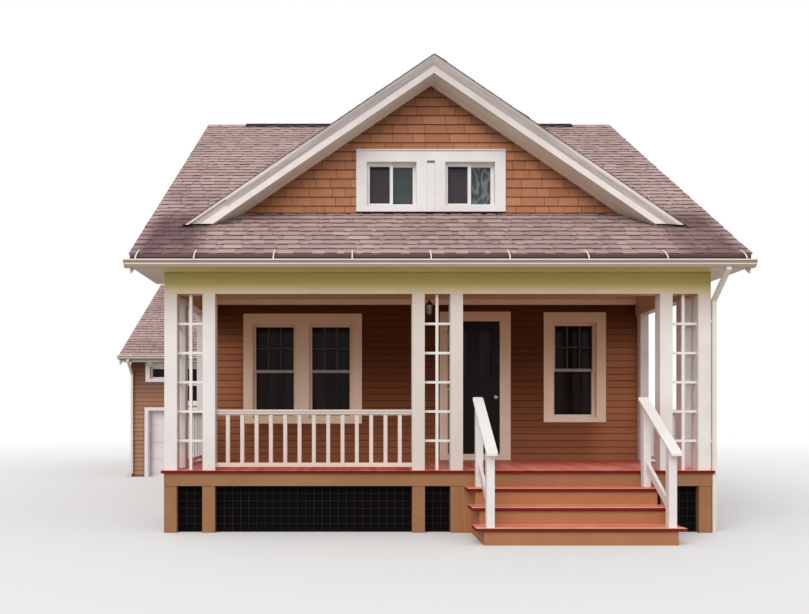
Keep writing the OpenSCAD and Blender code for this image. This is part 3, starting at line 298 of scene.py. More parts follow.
# Posts: painted shade on the inner posts and high up under the beam
postLook = shades((230, 223, 219), (218, 209, 204), (170, 156, 144), open=(0.8, 2.0, 1.0, 0.0),
                  shelter=((-1.0, 0.0, 0.0, 0.4), rgb(194, 174, 150)), top=(2.4, 3.0, 0.0, 0.55))
# The rail: painted shade in bands under its cap
railLook = shades((222, 205, 196), (212, 193, 183), (170, 150, 138), bands=[
    (1.478, 1.503, rgb(188, 170, 158)), (1.453, 1.466, rgb(146, 125, 115))])
# Porch trim: warmer painted shade high up under the porch roof
porchTrimLook = shades((232, 212, 192), (223, 200, 178), (170, 146, 122),
                       shelter=((1.3, 2.95, 0.0, 0.62), rgb(194, 150, 92)))
# Beams: olive painted shade at the top under the eave, and painted shade underneath
beamLook = shades((220, 198, 164), (212, 188, 153), (176, 150, 118), below=rgb(178, 140, 104),
                  shelter=((2.945, 3.1, 0.0, 0.95), rgb(188, 171, 90)), inner=rgb(196, 154, 120))
ceilingLook = shades((234, 206, 166), (220, 192, 152), (186, 154, 118), below=rgb(204, 172, 128))
# Gable soffit: painted light, near white towards the wall to offset its shade, with a duller tint in front
soffitLook = shades((246, 236, 222), (236, 224, 208), (190, 172, 150),
                    front=(-1.357, rgb(226, 218, 202)))
overheadLook = shades((238, 226, 228), (228, 214, 217), (190, 174, 174),
                      front=(6.049, rgb(232, 228, 225)))


def trimPaint(name, look):
    paint = Paint(name)
    nx, _, nz = paint.facing()
    brush = paint.noise(14.0, 4.0, 0.6, (1.2, 1.2, 6.0))
    color = paint.blotched(look["clean"], look["dull"], (1.6, 4.0, 0.6), (0.35, 0.75))
    color = paint.blotched(color, look["dirt"], (5.0, 5.0, 0.7, (6.0, 6.0, 0.5)),
                           (0.6, 0.82, 0.0, 0.22))
    color = paint.sheltered(color, look)
    if "below" in look:        # undersides in a darker tint; under eaves and beams it is painted shade
        color = paint.mix(nz < -0.5, color, look["below"])
    if "inner" in look:        # sides turned to the middle of the house
        color = paint.mix(paint.x * nx < -0.5, color, look["inner"])
    if "lean" in look:         # painted shade on sides that lean outwards and down
        color = paint.mix(paint.level(nz, 0.0, -0.2), color, look["lean"])
    for foot, top, tint in look.get("bands", []):      # painted shade under mouldings along a rail and a gutter; on the starter edge a lighter band
        color = paint.mix((paint.z > foot) * (paint.z < top), color, tint)
    if "front" in look:        # another tint in front of this plane
        plane, tint = look["front"]
        color = paint.mix(paint.y < plane, color, tint)
    return paint.finish(color, paint.level(brush, 0.2, 0.8, 0.38, 0.55),
                        [(brush, 0.12, 0.003), (paint.noise(60.0), 0.06, 0.001)])


# The crown on the gable slopes is painted grey as shade, as are faces that lean down, its upper edge less
# so low down, and the board below it is not; all of it has painted shade near the peak
crownLook = {
    "face": rgb(204, 192, 188), "streak": rgb(176, 164, 159), "board": rgb(238, 229, 224),
    "dull": rgb(226, 215, 209), "edge": rgb(232, 219, 215), "lip": (0.035, 0.065, 1.0, 0.0),
    "fade": (4.6, 5.2, 1.0, 0.1), "peak": 6.09, "slope": 0.682, "crown": 0.12,
    "shelter": ((4.6, 5.5, 0.0, 0.3), rgb(150, 138, 130))}


def crownPaint(name, look):
    paint = Paint(name)
    ny, nz = paint.facing()[1:]
    depth = paint.depth(look)
    along = paint.vector(paint.aside() * 2.5, paint.y, depth * 45.0)
    streaks = paint.noise(1.0, 4.0, 0.6, place=along)
    board = paint.blotched(look["board"], look["dull"], (2.0, 4.0, 0.6), (0.35, 0.7))
    face = paint.mix(paint.level(streaks, 0.35, 0.65), look["face"], look["streak"])
    lip = paint.level(depth, *look["lip"]) * paint.level(paint.z, *look["fade"])
    face = paint.mix(lip, face, look["edge"])
    # painted shade on faces that lean down and on the crown
    leaning = paint.level(nz, -0.15, -0.3) * (ny < -0.3)
    color = paint.sheltered(paint.mix(leaning | (depth < look["crown"]), board, face), look)
    return paint.finish(color, paint.level(streaks, 0.2, 0.8, 0.4, 0.6), [(streaks, 0.12, 0.003)])


deckLook = {
    "top": rgb(222, 108, 96), "faded": rgb(244, 152, 134), "edge": rgb(98, 12, 3),
    "bare": rgb(240, 194, 164), "dirt": rgb(142, 70, 58), "noseFront": -2.97, "run": 0.29,
    "inside": (-1.7, -0.3, 0.0, 0.75), "shade": rgb(160, 70, 58)}


def deckPaint(name, look):
    paint = Paint(name)
    grain = paint.noise(5.0, 5.0, 0.65, (7.0, 0.8, 7.0))
    patches = paint.noise(2.4, 5.0, 0.65)
    outdoors = paint.y < -2.2                      # the stairs fade more than the porch
    mixer = patches * 0.7 + paint.own("tone") * 0.3 + outdoors * 0.1
    color = paint.mix(paint.level(mixer, 0.3, 0.7), look["top"], look["faded"])
    nose = ((paint.y - look["noseFront"]) / look["run"]).maths("FRACT") < 0.3     # worn by feet
    scuffs = paint.level(patches * 0.6 + grain * 0.5 + nose * outdoors * 0.3, 0.62, 0.76, 0.0, 0.7)
    color = paint.mix(scuffs, color, look["bare"])
    color = paint.blotched(color, look["dirt"], (1.1, 5.0, 0.7), (0.58, 0.75, 0.0, 0.35))
    color = paint.mix(paint.level(paint.y, *look["inside"]), color, look["shade"])
    side = 1.0 - paint.level(paint.facing()[2], 0.3, 0.8)       # painted shade: deep red on faces that don't face up
    color = paint.mix(side * 0.96, color, look["edge"])
    return paint.finish(color, paint.level(scuffs, 0.0, 0.7, 0.4, 0.8), [(grain, 0.25, 0.002)],
                        {"Specular IOR Level": 0.1})


woodLook = {"light": rgb(178, 120, 78), "dark": rgb(164, 106, 66), "stain": rgb(120, 74, 48)}
# A darker copy of the tan paint for the rim and the piers, as painted shade under the porch floor
rimLook = {"light": rgb(160, 112, 72), "dark": rgb(146, 98, 60), "stain": rgb(108, 66, 42)}


def tanPaint(name, look):
    paint = Paint(name)
    grain = paint.noise(7.0, 4.0, 0.6, (1.0, 1.0, 9.0))
    mixer = grain * 0.3 + paint.noise(1.7, 4.0, 0.6) * 0.6
    color = paint.mix(paint.level(mixer, 0.3, 0.65), look["dark"], look["light"])
    color = paint.blotched(color, look["stain"], (4.0, 5.0, 0.7, (3.0, 3.0, 0.6)),
                           (0.58, 0.82, 0.0, 0.4))
    return paint.finish(color, paint.level(grain, 0.2, 0.8, 0.5, 0.7), [(grain, 0.25, 0.003)])


def plainPaint(name, color, second, rough, scale=3.0, bump=0.1, shine=0.5):
    paint = Paint(name)
    fine = paint.noise(scale * 22, 3.0, 0.6)
    mixed = paint.blotched(rgb(*color), rgb(*second), (scale, 4.0, 0.6), (0.35, 0.7))
    return paint.finish(mixed, paint.level(fine, 0.25, 0.75, rough * 0.88, rough * 1.12),
                        [(fine, bump, 0.002)], {"Specular IOR Level": shine})


blockLook = {
    "face": rgb(168, 160, 150), "second": rgb(144, 136, 126), "joint": rgb(122, 116, 108),
    "dirt": rgb(96, 90, 82), "long": 0.4, "high": 0.2, "mortar": 0.006}


def blockWall(name, look):
    paint = Paint(name)
    bricks = paint.add("ShaderNodeTexBrick", {"offset": 0.5}, {
        "Vector": paint.vector(paint.x + paint.y, paint.z), "Color1": look["face"],
        "Color2": look["second"], "Mortar": look["joint"], "Scale": 1.0,
        "Mortar Size": look["mortar"], "Mortar Smooth": 0.3, "Brick Width": look["long"],
        "Row Height": look["high"]})
    rough = paint.noise(40.0, 5.0, 0.7)
    color = paint.mix(paint.level(rough, 0.4, 0.8, 0.0, 0.35), bricks, look["dirt"])
    return paint.finish(color, 0.9, [(1.0 - bricks.out("Fac"), 0.7, 0.006), (rough, 0.4, 0.004)])


def glassPane(name, tint, second, scale, shine, stretch=(1.0, 1.0, 0.5)):
    paint = Paint(name)
    color = paint.blotched(rgb(*tint), rgb(*second), (scale, 2.0, 0.5, stretch), (0.4, 0.66))
    return paint.finish(color, 0.06, [(paint.noise(2.0, 1.0, 0.4), 0.05, 0.01)],
                        {"Specular IOR Level": shine})


# Sliding panes: the fixed leaf of each pair is screened, the other has a painted reflection of trees, and
# lace
sliderLook = {
    "screened": rgb(62, 55, 62), "clear": rgb(64, 72, 74), "cloud": rgb(88, 98, 92),
    "lace": rgb(132, 139, 141), "pitch": 1.052, "laceFrom": 0.56, "other": rgb(24, 19, 18),
    "plane": 0.0}


def sliderGlass(name, look):
    paint = Paint(name)
    clear = (paint.x / look["pitch"]).maths("FRACT") > 0.5
    paintedReflection = paint.blotched(look["clear"], look["cloud"], (3.0, 2.0, 0.5), (0.3, 0.7, 0.0, 0.35))
    color = paint.mix(clear, look["screened"], paintedReflection)
    swirl = paint.noise(10.0, 1.0, 0.5, (1.0, 1.0, 0.45))
    lace = paint.level(swirl, 0.44, 0.51, 0.0, 0.6) * paint.level(swirl, 0.52, 0.62, 1.0, 0.0)
    color = paint.mix(lace * (paint.x > look["laceFrom"]), color, look["lace"])
    color = paint.mix(paint.y > look["plane"], color, look["other"])       # the side windows, dark as painted shade of the rooms behind
    return paint.finish(color, 0.08, [(paint.noise(2.0, 1.0, 0.4), 0.05, 0.01)],
                        {"Specular IOR Level": 0.2})


def metalFinish(name, color, second, rough):
    paint = Paint(name)
    patches = paint.noise(20.0, 3.0, 0.6)
    mixed = paint.mix(paint.level(patches, 0.3, 0.7), rgb(*color), rgb(*second))
    return paint.finish(mixed, paint.level(patches, 0.3, 0.7, rough * 0.8, rough * 1.2),
                        [(paint.noise(300.0), 0.05, 0.0005)], {"Metallic": 1.0})


finishes = {
    "siding": coursePaint("siding_paint", boardLook),
    "wall_shingle": coursePaint("shingle_stain", shingleLook),
    "roof_shingle": roofGranules("roof_granules", roofLook),
    "trim_paint": trimPaint("trim_paint", trimLook),
    "ceiling_paint": trimPaint("ceiling_paint", ceilingLook),
    "red_paint": deckPaint("deck_paint", deckLook),
    "tan_paint": tanPaint("tan_paint", woodLook),
    "dark_grid": plainPaint("grid_black", (26, 22, 22), (34, 30, 29), 0.8, shine=0.08),
    "door_black": plainPaint("door_black", (17, 13, 12), (22, 18, 17), 0.4, shine=0.12),
    # dark as painted shade of the rooms behind, with folds of curtains seen faintly
    "window_glass": glassPane("window_glass", (20, 13, 11), (38, 30, 28), 7.0, 0.09,
                              (1.0, 1.0, 0.06)),
    "knob_metal": metalFinish("knob_steel", (196, 194, 188), (168, 166, 160), 0.25),
    "white_metal": trimPaint("white_enamel", enamelLook),
    "lantern_metal": plainPaint("lantern_black", (30, 26, 24), (46, 40, 36), 0.45),
    "vent_black": plainPaint("vent_black", (34, 27, 27), (48, 40, 40), 0.85, shine=0.15),
    "lantern_glass": glassPane("lantern_glass", (214, 186, 160), (236, 214, 190), 14.0, 0.5),
    "foundation_block": blockWall("foundation_block", blockLook),
    "concrete": plainPaint("concrete", (160, 157, 150), (138, 134, 128), 0.85, 2.0, 0.4),
    "floor_board": plainPaint("floor_board", (168, 128, 88), (140, 100, 66), 0.6),
}
porchBoards = coursePaint("porch_siding_paint", porchBoardLook)
wingBoards = coursePaint("wing_siding_paint", wingBoardLook)
porchTrim = trimPaint("porch_trim_paint", porchTrimLook)
eavePaint = trimPaint("eave_paint", eaveLook)
rimPaint = tanPaint("rim_paint", rimLook)
# The roof deck, whose edges show as a dark line: painted shade
deckWood = plainPaint("roof_deck", (70, 50, 50), (84, 62, 60), 0.9)
variants = {
    "front_windows": porchTrim, "door_frame": porchTrim,
    "porch_rim": rimPaint, "porch_piers": rimPaint,
    "porch_beams": trimPaint("beam_paint", beamLook),
    "porch_posts": trimPaint("post_paint", postLook),
    "front_railing": trimPaint("rail_paint", railLook),
    "gutters": trimPaint("gutter_enamel", gutterLook),
    "front_eave_trim": trimPaint("front_eave_paint", frontEaveLook), "rear_eave_trim": eavePaint,
    "wing_eave_trim": eavePaint, "left_rake_trim": eavePaint, "right_rake_trim": eavePaint,
    "gable_wall": plainPaint("shingle_backing", (74, 40, 24), (92, 52, 32), 0.8),
    "gable_barge_boards": crownPaint("crown_paint", crownLook),
    "gable_soffit": trimPaint("soffit_paint", soffitLook),
    "upper_glass": sliderGlass("slider_glass", sliderLook),
    "wing_door": trimPaint("overhead_door_paint", overheadLook),
    "main_roof_front": deckWood, "main_roof_rear": deckWood, "gable_roof": deckWood,
    "wing_roof": deckWood}

for part in frame["record"]["subparts"]:
    held = nodes[part["node"]]
    held.data.materials.clear()
    held.data.materials.append(variants.get(part["node"], finishes[part["material_slot"]]))
print("materials:", len(finishes) + len(variants))


# Geometry Nodes: a tree that lays boards, bars or shingles on points that say their size and
# turn, and one that sets a form of any shape on such points
class Growth(Graph):
    def __init__(self, name, inputs):
        tree = bpy.data.node_groups.new(name, "GeometryNodeTree")
        super().__init__(tree)
        for label, kind, value in [("Geometry", "Geometry", None), *inputs]:
            socket = tree.interface.new_socket(
                label, in_out="INPUT", socket_type="NodeSocket" + kind)
            if value is not None:
                socket.default_value = value
        tree.interface.new_socket("Geometry", in_out="OUTPUT", socket_type="NodeSocketGeometry")
        self.given = self.add("NodeGroupInput")

    def named(self, name):
        return self.add("GeometryNodeInputNamedAttribute", {"data_type": "FLOAT_VECTOR"}, {
            "Name": name})

    # Sets the instance on every given point, in the size that the point says
    def lay(self, instance, turn):
        turned = self.add("FunctionNodeEulerToRotation", sockets={0: turn})
        return self.add("GeometryNodeInstanceOnPoints", sockets={
            "Points": self.given, "Instance": instance, "Rotation": turned,
            "Scale": self.named("size")})

    def close(self, geometry):
        real = self.add("GeometryNodeRealizeInstances", sockets={"Geometry": geometry})
        painted = self.add("GeometryNodeSetMaterial", sockets={
            "Geometry": real, "Material": self.given.out("Material")})
        self.add("NodeGroupOutput", sockets={0: painted})
        return self.tree


def buildCourseTree():
    grow = Growth("lay_courses", [
        ("Butt", "Float", 0.012), ("Taper", "Float", 0.75), ("Wobble", "Float", 0.0),
        ("Seed", "Int", 1), ("Material", "Material", None)])
    given = grow.given
    block = grow.add("GeometryNodeMeshCube", sockets={"Size": (1.0, 1.0, 1.0)})
    x, y, z = grow.split(grow.add("GeometryNodeInputPosition"))
    up = z + 0.5
    marked = grow.add("GeometryNodeStoreNamedAttribute", {
        "data_type": "FLOAT", "domain": "POINT"}, {"Geometry": block, "Name": "up", "Value": up})
    depth = (y - 0.5) * given.out("Butt") * (1.0 - given.out("Taper") * up)
    wedge = grow.add("GeometryNodeSetPosition", sockets={
        "Geometry": marked, "Position": grow.vector(x, depth, up)})
    slip = grow.add("FunctionNodeRandomValue", {"data_type": "FLOAT"}, {
        2: 0.0 - given.out("Wobble"), 3: given.out("Wobble"), "Seed": given.out("Seed")}, out=1)
    return grow.close(grow.add("GeometryNodeTranslateInstances", sockets={
        "Instances": grow.lay(wedge, grow.named("turn")), "Translation": grow.vector(z=slip)}))


def buildPlaceTree():
    grow = Growth("set_on_points", [
        ("Form", "Object", None), ("Tilt", "Float", 0.0), ("Seed", "Int", 1),
        ("Material", "Material", None)])
    given = grow.given
    form = grow.add("GeometryNodeObjectInfo", sockets={"Object": given.out("Form")}, out="Geometry")
    tilt = grow.add("FunctionNodeRandomValue", {"data_type": "FLOAT_VECTOR"}, {
        0: (-1.0, -1.0, -1.0), 1: (1.0, 1.0, 1.0), "Seed": given.out("Seed")})
    leaning = grow.add("ShaderNodeVectorMath", {"operation": "SCALE"}, {
        0: tilt, "Scale": given.out("Tilt")})
    turn = grow.add("ShaderNodeVectorMath", {"operation": "ADD"}, {
        0: grow.named("turn"), 1: leaning})
    return grow.close(grow.lay(form, turn))


courseTree = buildCourseTree()
placeTree = buildPlaceTree()


def link(obj):
    bpy.context.scene.collection.objects.link(obj)
    return obj


def grown(name, mesh, tree, values):
    seed = link(bpy.data.objects.new(name + "_seed", mesh))
    modifier = seed.modifiers.new("grow", "NODES")
    modifier.node_group = tree
    for item in tree.interface.items_tree:
        if item.item_type == "SOCKET" and item.in_out == "INPUT" and item.name in values:
            modifier[item.identifier] = values[item.name]
    graph = bpy.context.evaluated_depsgraph_get()
    result = bpy.data.meshes.new_from_object(
        seed.evaluated_get(graph), preserve_all_data_layers=True, depsgraph=graph)
    bpy.data.objects.remove(seed)
    result.name = name
    result.materials.clear()
    result.materials.append(values["Material"])
    return link(bpy.data.objects.new(name, result))


def settle(obj, body="root"):
    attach(obj, body)
    print("piece", obj.name, len(obj.data.polygons), "faces")
    return obj


# Cuts away what lies beyond each plane, given as a point and an outward normal, and closes the cut
def trimmed(obj, planes):
    work = bmesh.new()
    work.from_mesh(obj.data)
    for point, outward in planes:
        geometry = work.verts[:] + work.edges[:] + work.faces[:]
        bmesh.ops.bisect_plane(
            work, geom=geometry, plane_co=point, plane_no=outward, clear_outer=True)
        rims = [edge for edge in work.edges if edge.is_boundary]
        bmesh.ops.holes_fill(work, edges=rims, sides=0)
    bmesh.ops.recalc_face_normals(work, faces=work.faces[:])
    work.to_mesh(obj.data)
    work.free()
    return obj


# House measures in metres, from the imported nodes
def low(node):
    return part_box(node)[0]


def high(node):
    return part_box(node)[1]


halfW, houseD, _ = high("right_wall")
roofHalfW, ridgeY, ridgeZ = high("main_roof_front")
roofT = 0.13
soffitT = 0.015
wallTop = ridgeZ - roofT
eaveY = low("main_roof_front").y
eaveZ = low("main_roof_front").z + roofT
rearEaveY = high("main_roof_rear").y
pitch = (ridgeZ - eaveZ) / (ridgeY - eaveY)
porchFloorZ = high("porch_floor").z
frieze = low("porch_ceiling").z
crownY = low("gable_barge_boards").y
gableWallY = low("gable_wall").y
gablePeakZ = high("gable_roof").z
gablePitch = 0.682
gableTop = gablePeakZ - 0.224            # the soffit's underside lies that much below the roof
wingLeft, wingFrontY, _ = low("wing_left_wall")
wingRight = high("wing_right_wall").x
wingRearY = high("wing_left_wall").y
wingRoofLo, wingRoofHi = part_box("wing_roof")
wingRoofT = 0.12
wingTop = wingRoofHi.z - wingRoofT
wingEaveZ = wingRoofLo.z + wingRoofT
wingSoffitZ = low("wing_eave_trim").z
wingRidgeY = (wingFrontY + wingRearY) / 2
wingPitch = (wingRoofHi.z - wingEaveZ) / (wingRidgeY - wingRoofLo.y)
valleyY = ((ridgeZ + pitch * ridgeY) - (wingEaveZ - wingPitch * wingRoofLo.y)) / (pitch + wingPitch)


def roofZ(y):
    return ridgeZ - pitch * abs(y - ridgeY)


def gableZ(x):
    return gablePeakZ - gablePitch * abs(x)


# Walls, with the turn about Z of what is laid on them and their plane
walls = {
    "front": (0, 0.0), "left": (-90, -halfW), "right": (90, halfW), "rear": (180, houseD),
    "wing_front": (0, wingFrontY), "wing_left": (-90, wingLeft), "wing_right": (90, wingRight),
    "wing_rear": (180, wingRearY)}

# Windows with two hung sashes, all of one width: wall, centre, foot and height
windowW = 0.69
windowH = 1.463
windowFoot = 1.375
hungWindows = [
    ("front", -2.226, windowFoot, windowH), ("front", -1.376, windowFoot, windowH),
    ("front", 2.302, windowFoot + 0.02, windowH), ("left", houseD * 0.24, windowFoot, windowH),
    ("left", houseD * 0.58, windowFoot, windowH), ("right", houseD * 0.24, windowFoot, windowH),
    ("right", houseD * 0.72, windowFoot, windowH), ("rear", halfW * 0.05, windowFoot, windowH),
    ("rear", halfW * 0.62, windowFoot, windowH), ("left", ridgeY, 4.23, 1.2),
    ("right", ridgeY, 4.23, 1.2), ("wing_left", wingRidgeY, 1.0, 1.1),
    ("wing_rear", (wingLeft + wingRight) / 2, 1.0, 1.1)]

siding = {
    "exposure": 0.1, "lap": 0.02, "butt": 0.013, "taper": 0.8, "shortest": 1.3, "longest": 3.6,
    "gap": 0.0015, "base": 0.55, "wingBase": 0.05, "holeLap": 0.02, "reach": 0.05}
rand = random.Random(29)


def holesIn(wall):
    half = windowW / 2 + siding["holeLap"]
    return [(c - half, c + half, z, z + h) for name, c, z, h in hungWindows if name == wall]


# Splits a course into board lengths between its ends, clear of the holes that it crosses
def splitCourse(span, holes, z0, z1, shape):
    cuts = sorted((a, b) for a, b, foot, top in holes if foot < z1 and top > z0)
    free = []
    start = span[0]
    for a, b in cuts:
        if a > start:
            free.append((start, min(a, span[1])))
        start = max(start, b)
    if start < span[1]:
        free.append((start, span[1]))
    boards = []
    for a, b in free:
        while b - a > shape["longest"]:
            step = rand.uniform(shape["shortest"], shape["longest"])
            boards.append((a, a + step))
            a += step
        if b - a > 0.01:
            boards.append((a, b))
    return boards


# Points with size, turn and tone, from which the trees grow boards or set forms
def pointMesh(name, rows):
    mesh = bpy.data.meshes.new(name)
    mesh.from_pydata([row[0] for row in rows], [], [])
    for label, kind in (("size", "FLOAT_VECTOR"), ("turn", "FLOAT_VECTOR"), ("tone", "FLOAT")):
        mesh.attributes.new(label, kind, "POINT")
    for i, (_, size, turn, tone) in enumerate(rows):
        mesh.attributes["size"].data[i].vector = size
        mesh.attributes["turn"].data[i].vector = turn
        mesh.attributes["tone"].data[i].value = tone
    return mesh


# Boards on an upright wall, between two heights and the ends that span gives
def boardRows(wall, span, z0, z1, holes=(), shape=siding):
    facing, plane = wall
    rows = []
    turn = (0.0, 0.0, math.radians(facing))
    for i in range(math.ceil((z1 - z0) / shape["exposure"] - 0.01)):
        z = z0 + i * shape["exposure"]
        ends = span(z) if callable(span) else span
        if ends[1] - ends[0] < 0.02:
            continue
        for a, b in splitCourse(ends, holes, z, z + shape["exposure"], shape):
            mid = (a + b) / 2
            point = (mid, plane, z) if facing in (0, 180) else (plane, mid, z)
            size = (b - a - shape["gap"], 1.0, shape["exposure"] + shape["lap"])
            rows.append((point, size, turn, rand.random()))
    return rows


def layBoards(name, rows, slot, shape, seed=1, planes=(), material=None, body="root"):
    piece = grown(name, pointMesh(name + "_points", rows), courseTree, {
        "Butt": shape["butt"], "Taper": shape["taper"], "Wobble": shape.get("wobble", 0.0),
        "Seed": seed, "Material": material or finishes[slot]})
    if planes:
        trimmed(piece, planes)
    return settle(piece, body)


# Both planes of a roof's underside, through a point below its ridge
def underRoof(point, across, slope):
    return [(point, Vector(across) * side * slope + Vector((0, 0, 1))) for side in (-1, 1)]


# Clapboards, where the side walls reach out over the porch above its beams
beamTop = high("porch_beams").z
postFront = low("porch_beams").y


def sideSpan(z):
    reach = (wallTop - z) / pitch + siding["reach"]
    front = postFront if z > beamTop - 0.02 else 0.0
    return (max(front, ridgeY - reach), min(houseD + siding["butt"], ridgeY + reach))


def leftSpan(z):
    front, rear = sideSpan(z)
    return (front, rear if z > wingEaveZ - 0.1 else wingFrontY)


def wingSpan(front):
    def span(z):
        reach = (wingTop - z) / wingPitch + siding["reach"]
        return (max(front, wingRidgeY - reach), min(wingRearY + siding["butt"], wingRidgeY + reach))
    return span


# What the boards stop at besides the hung windows; the wing's are its overhead door, its small
# window and its tall one
openings = {
    "doorGap": 0.03, "overheadGap": 0.02, "overheadTop": 1.54,
    "wingWindows": [(-5.785, -5.185, 2.255, 2.565), (-4.975, -4.435, 1.70, 2.565)]}


def layWalls():
    holes = {wall: holesIn(wall) for wall in walls}
    for wall, node, gap, top in (
            ("front", "front_door", openings["doorGap"], high("front_door").z),
            ("wing_front", "wing_door", openings["overheadGap"], openings["overheadTop"])):
        holes[wall].append((low(node).x - gap, high(node).x + gap, 0.0, top))
    holes["wing_front"] += openings["wingWindows"]
    wallIn = high("front_wall_right").x
    butt, base, wingBase = siding["butt"], siding["base"], siding["wingBase"]
    rearTop = low("rear_eave_trim").z
    sideUnder = underRoof((0, ridgeY, wallTop - soffitT), (0, 1, 0), pitch)
    wingUnder = underRoof((0, wingRidgeY, wingTop), (0, 1, 0), wingPitch)
    for wall, span, foot, top, planes, paint in (
            ("front", (-wallIn, wallIn), porchFloorZ, frieze, (), porchBoards),
            ("left", leftSpan, base, wallTop, sideUnder, None),
            ("right", sideSpan, base, wallTop, sideUnder, None),
            ("rear", (wingRight, halfW + butt), base, rearTop, (), None),
            ("wing_front", (wingLeft - butt, -halfW), wingBase, wingSoffitZ, (), wingBoards),
            ("wing_left", wingSpan(wingFrontY), wingBase, wingTop, wingUnder, None),
            ("wing_right", wingSpan(houseD), wingBase, wingTop, wingUnder, None),
            ("wing_rear", (wingLeft, wingRight), wingBase, wingSoffitZ, (), None)):
        rows = boardRows(walls[wall], span, foot, top, holes[wall])
        layBoards("siding_" + wall, rows, "siding", siding, planes=planes, material=paint)


layWalls()

# Gable shingles
gableShingles = {
    "exposure": 0.1215, "lap": 0.03, "butt": 0.014, "taper": 0.75, "shortest": 0.16,
    "longest": 0.33, "gap": 0.006, "wobble": 0.002, "reach": 0.03}
gableFoot = roofZ(gableWallY)
gableHoles = [(-0.9, 0.9, 4.19, 4.985)]


def gableSpan(z):
    reach = (gableTop - z) / gablePitch + gableShingles["reach"]
    return (-reach, reach)


gableRows = boardRows((0, gableWallY), gableSpan, gableFoot - 0.01, gableTop, gableHoles,
                      gableShingles)
layBoards("gable_shingles", gableRows, "wall_shingle", gableShingles, 9,
          underRoof((0, gableWallY, gableTop), (-1, 0, 0), gablePitch))

# Roof shingles: full strips, and thicker tabs of random width on top of them
roofing = {
    "exposure": 0.143, "lap": 0.03, "butt": 0.006, "taper": 0.5, "strip": 0.96, "gap": 0.002,
    "tabButt": 0.013, "tabTaper": 0.45, "tabs": (0.1, 0.26), "gaps": (0.05, 0.2), "overhang": 0.012}


# A slope that climbs from its low edge, where facing is the turn of its courses about Z. The span
# gives the ends of a course by its level distance from that edge
def slopeRows(facing, edge, foot, slope, length, span):
    angle = math.atan(slope)
    turn = (angle - math.pi / 2, 0.0, math.radians(facing))
    uphill = 1 if facing in (0, -90) else -1
    strips = []
    tabs = []

    def place(a, b, d):
        level = edge + uphill * d * math.cos(angle)
        rise = foot + d * math.sin(angle)
        return ((a + b) / 2, level, rise) if facing in (0, 180) else (level, (a + b) / 2, rise)

    for i in range(math.ceil(length / roofing["exposure"])):
        d = i * roofing["exposure"] - roofing["overhang"]
        height = min(roofing["exposure"] + roofing["lap"], length - d)
        if height < 0.03:
            continue
        for start, end in span(d * math.cos(angle)):
            a = start
            offset = rand.uniform(0.2, roofing["strip"])
            while a < end - 0.005:
                b = min(end, a + offset)
                offset = roofing["strip"]
                size = (b - a - roofing["gap"], 1.0, height)
                strips.append((place(a, b, d), size, turn, rand.random()))
                a = b
            a = start + rand.uniform(0, 0.2)
            while a < end:
                b = min(end, a + rand.uniform(*roofing["tabs"]))
                if b - a > 0.02:
                    tabs.append((place(a, b, d), (b - a, 1.0, height), turn, rand.random()))
                a = b + rand.uniform(*roofing["gaps"])
    return strips, tabs


def joined(name, pieces):
    work = bmesh.new()
    for piece in pieces:
        work.from_mesh(piece.data)
    target = pieces[0]
    work.to_mesh(target.data)
    work.free()
    for piece in pieces[1:]:
        bpy.data.objects.remove(piece)
    target.name = name
    target.data.name = name
    return target


def laySlopes(name, groups, seed):
    pieces = []
    for strips, tabs in groups:
        for rows, butt, taper in ((strips, roofing["butt"], roofing["taper"]),
                                  (tabs, roofing["tabButt"], roofing["tabTaper"])):
            pieces.append(grown(name, pointMesh("points", rows), courseTree, {
                "Butt": butt, "Taper": taper, "Wobble": 0.001, "Seed": seed,
                "Material": finishes["roof_shingle"]}))
    return settle(joined(name, pieces))


over = roofing["overhang"]
roofEdge = roofHalfW + over
slopeLength = (ridgeY - eaveY) / math.cos(math.atan(pitch))
wallRun = gableWallY - eaveY         # level distance from the eave to the gable wall
valleyGap = 0.13                     # bare strip beside the gable roof's valleys
valleyLap = 0.1                      # what the courses run past the wing roof's valley


def frontBelow(run):
    return [(-roofEdge, roofEdge)] if run < wallRun else []


# From the rake to the gable roof, which the main slope meets where it has run so far from the eave
def frontBeside(side):
    def span(run):
        valleyX = max(0.0, (gablePeakZ - eaveZ - pitch * (run + valleyGap)) / gablePitch)
        return [sorted((side * roofEdge, side * valleyX))] if run >= wallRun else []
    return span


laySlopes("roof_front_shingles", [slopeRows(0, eaveY, eaveZ, pitch, slopeLength, span) for span in (
    frontBelow, frontBeside(-1), frontBeside(1))], 11)


def rearSpan(run):
    return [(wingRoofHi.x if rearEaveY - run > valleyY + valleyLap else -roofEdge, roofEdge)]


laySlopes("roof_rear_shingles", [
    slopeRows(180, rearEaveY, eaveZ, pitch, slopeLength, rearSpan)], 12)

# Gable roof, each slope from its low edge up to the ridge
gableHalf = 3.93
gableLength = gableHalf / math.cos(math.atan(gablePitch))


# From the front edge back to the main slope
def gableSlopeSpan(run):
    back = eaveY + (gableZ(gableHalf - run) + 0.05 - eaveZ) / pitch
    front = crownY - over
    return [(front, back)] if back > front + 0.02 else []


laySlopes("gable_roof_shingles", [
    slopeRows(facing, edge, gableZ(gableHalf), gablePitch, gableLength, gableSlopeSpan)
    for facing, edge in ((-90, -gableHalf), (90, gableHalf))], 13)

# Wing roof
wingLength = (wingRidgeY - wingRoofLo.y) / math.cos(math.atan(wingPitch))


def wingFrontSpan(run):
    beside = wingRoofLo.y + run < valleyY - valleyLap
    return [(wingRoofLo.x - over, -halfW if beside else wingRoofHi.x + over)]


def wingRearSpan(run):
    return [(wingRoofLo.x - over, wingRoofHi.x + over)]


laySlopes("wing_roof_shingles", [
    slopeRows(0, wingRoofLo.y, wingEaveZ, wingPitch, wingLength, wingFrontSpan),
    slopeRows(180, wingRoofHi.y, wingEaveZ, wingPitch, wingLength, wingRearSpan)], 14)


